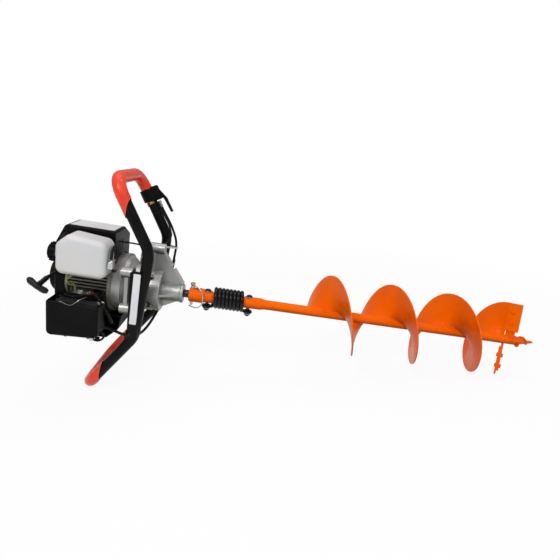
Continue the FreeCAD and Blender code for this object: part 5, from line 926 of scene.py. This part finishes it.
def turn_on(bm, ring, centre, axis, angle):
    """Spin a ring of edges round a corner and give the new ring."""
    corners = list(dict.fromkeys(vert for edge in ring for vert in edge.verts))
    made = bmesh.ops.spin(bm, geom=ring + corners, cent=centre, axis=axis, angle=angle, steps=12)
    return pick(made["geom_last"], bmesh.types.BMEdge)


grip_foam = make_finish(
    "grip_foam", (0.88, 0.056, 0.014), (0.78, 0.04, 0.009), (0.9, 0.3, 0.2), rough=(0.24, 0.4),
    relief=0.0002, grain=(26, 900), rub=(0.0012, 0.45), under_metal=0.0, Specular_IOR_Level=0.35,
    Coat_Weight=0.15, Coat_Roughness=0.08)

for name, corner, bend, seam, slant in (("upper_grip", UPPER_CORNER, UPPER_BEND, 65, 1.3),
                                        ("lower_grip", LOWER_CORNER, LOWER_BEND, 58, 1.75)):
    near = Vector((corner[0], -BAR_HALF, corner[1]))
    far = Vector((corner[0], BAR_HALF, corner[1]))
    arm = (Vector((bend[0], -BAR_HALF, bend[1])) - near).normalized()
    front = across.cross(arm) if across.cross(arm).x > 0 else arm.cross(across)
    bm = bmesh.new()
    bmesh.ops.create_circle(bm, segments=32, radius=GRIP_RADIUS)
    seat = Matrix.Translation(near + arm * SLEEVE_END) @ arm.to_track_quat("Z", "Y").to_matrix().to_4x4()
    bmesh.ops.transform(bm, matrix=seat, verts=bm.verts)
    ring = push_on(bm, bm.edges[:], -arm * (SLEEVE_END - BAR_BEND))
    axis = (-arm).cross(across)
    ring = turn_on(bm, ring, near + (arm + across) * BAR_BEND, axis, math.pi / 2)
    ring = push_on(bm, ring, across * 2 * (BAR_HALF - BAR_BEND))
    ring = turn_on(bm, ring, far + (arm - across) * BAR_BEND, axis, math.pi / 2)
    push_on(bm, ring, arm * (SLEEVE_END - BAR_BEND))
    for end in (near, far):
        whole = bm.verts[:] + bm.edges[:] + bm.faces[:]
        bmesh.ops.bisect_plane(bm, geom=whole, plane_co=end + arm * seam, plane_no=arm + front * slant,
                               clear_outer=True)
    close_openings(bm)
    grip = place_piece(bm, name + "_sleeve", grip_foam, "machine")
    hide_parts(name)

# Throttle: a clamp moulded in two halves round the far arm, with a lever, a red stop slide
# and two brass screws.

ARM_CORNER = Vector((UPPER_CORNER[0], BAR_HALF, UPPER_CORNER[1]))
ARM_BEND = Vector((UPPER_BEND[0], BAR_HALF, UPPER_BEND[1]))

arm_down = (ARM_BEND - ARM_CORNER).normalized()
arm_front = Vector((-arm_down.z, 0, arm_down.x))
arm_frame = Matrix((arm_front, arm_down.cross(arm_front), arm_down)).transposed().to_4x4()
ON_ARM = Matrix.Translation(ARM_CORNER) @ arm_frame

dress(satin_plastic, "throttle_housing", "throttle_lever")
switch_red = make_finish(
    "switch_red", (0.5, 0.02, 0.015), (0.4, 0.015, 0.012), (0.7, 0.2, 0.2), rough=(0.25, 0.4),
    relief=0.00003, under_metal=0.0)
dress(switch_red, "stop_switch")
bm = bmesh.new()
add_hexagon(bm, ON_ARM @ Vector((2, 13, 73)), arm_down, radius=6.5, height=6, bore=2.6)
add_hexagon(bm, ON_ARM @ Vector((-12, -15, 50)), (0, -1, 0), radius=4, height=4, bore=1.8)
place_piece(bm, "clamp_screws", brass, "machine")

# Cords: throttle cable and stop lead in black sleeving along the far tube, tied to it by a
# nylon strap. The cable runs on round the gearbox in a conduit and ends in plated ferrules.

CABLE_START = Vector((-108, 97.9, 205.5))
CABLE_NEXT = Vector((-97, 99.5, 184))
CABLE_END = Vector((-209, -74, -43.2))
CONDUIT_RADIUS = 3.5

dress(black_rubber, "throttle_cable", "stop_lead")
nylon = make_finish(
    "nylon", (0.74, 0.74, 0.72), (0.66, 0.66, 0.64), (0.85, 0.85, 0.85), rough=(0.35, 0.5),
    relief=0.00003, under_metal=0.0)
dress(nylon, "cable_tie")
conduit = make_finish(
    "conduit", (0.004, 0.0043, 0.004), (0.008, 0.0085, 0.008), (0.03, 0.03, 0.03), rough=(0.3, 0.46),
    relief=0.0002, grain=(40, 500), under_metal=0.0, Specular_IOR_Level=0.15)
bm = bmesh.new()
add_wire(bm, [(-55, 90, 58), (-60, 83, 12), (-66, 79, -36), (-82, 68, -84), (-98, 38, -122),
              (-112, 0, -134), (-131, -48, -114), (-158, -68, -92), (-185, -73.5, -80), (-203, -74, -74)],
         CONDUIT_RADIUS, sides=3)
place_piece(bm, "cable_conduit", conduit, "machine")

bm = bmesh.new()
ferrule = [(3.1, 0), (4.4, 0), (4.4, 6), (3.9, 7), (3.9, 15), (3.1, 16)]
spin_section(bm, ferrule, CABLE_START, CABLE_NEXT - CABLE_START, steps=20)
spin_section(bm, ferrule, CABLE_END, (0, 0, -1), steps=20)
place_piece(bm, "cable_ferrules", zinc_plate, "machine")
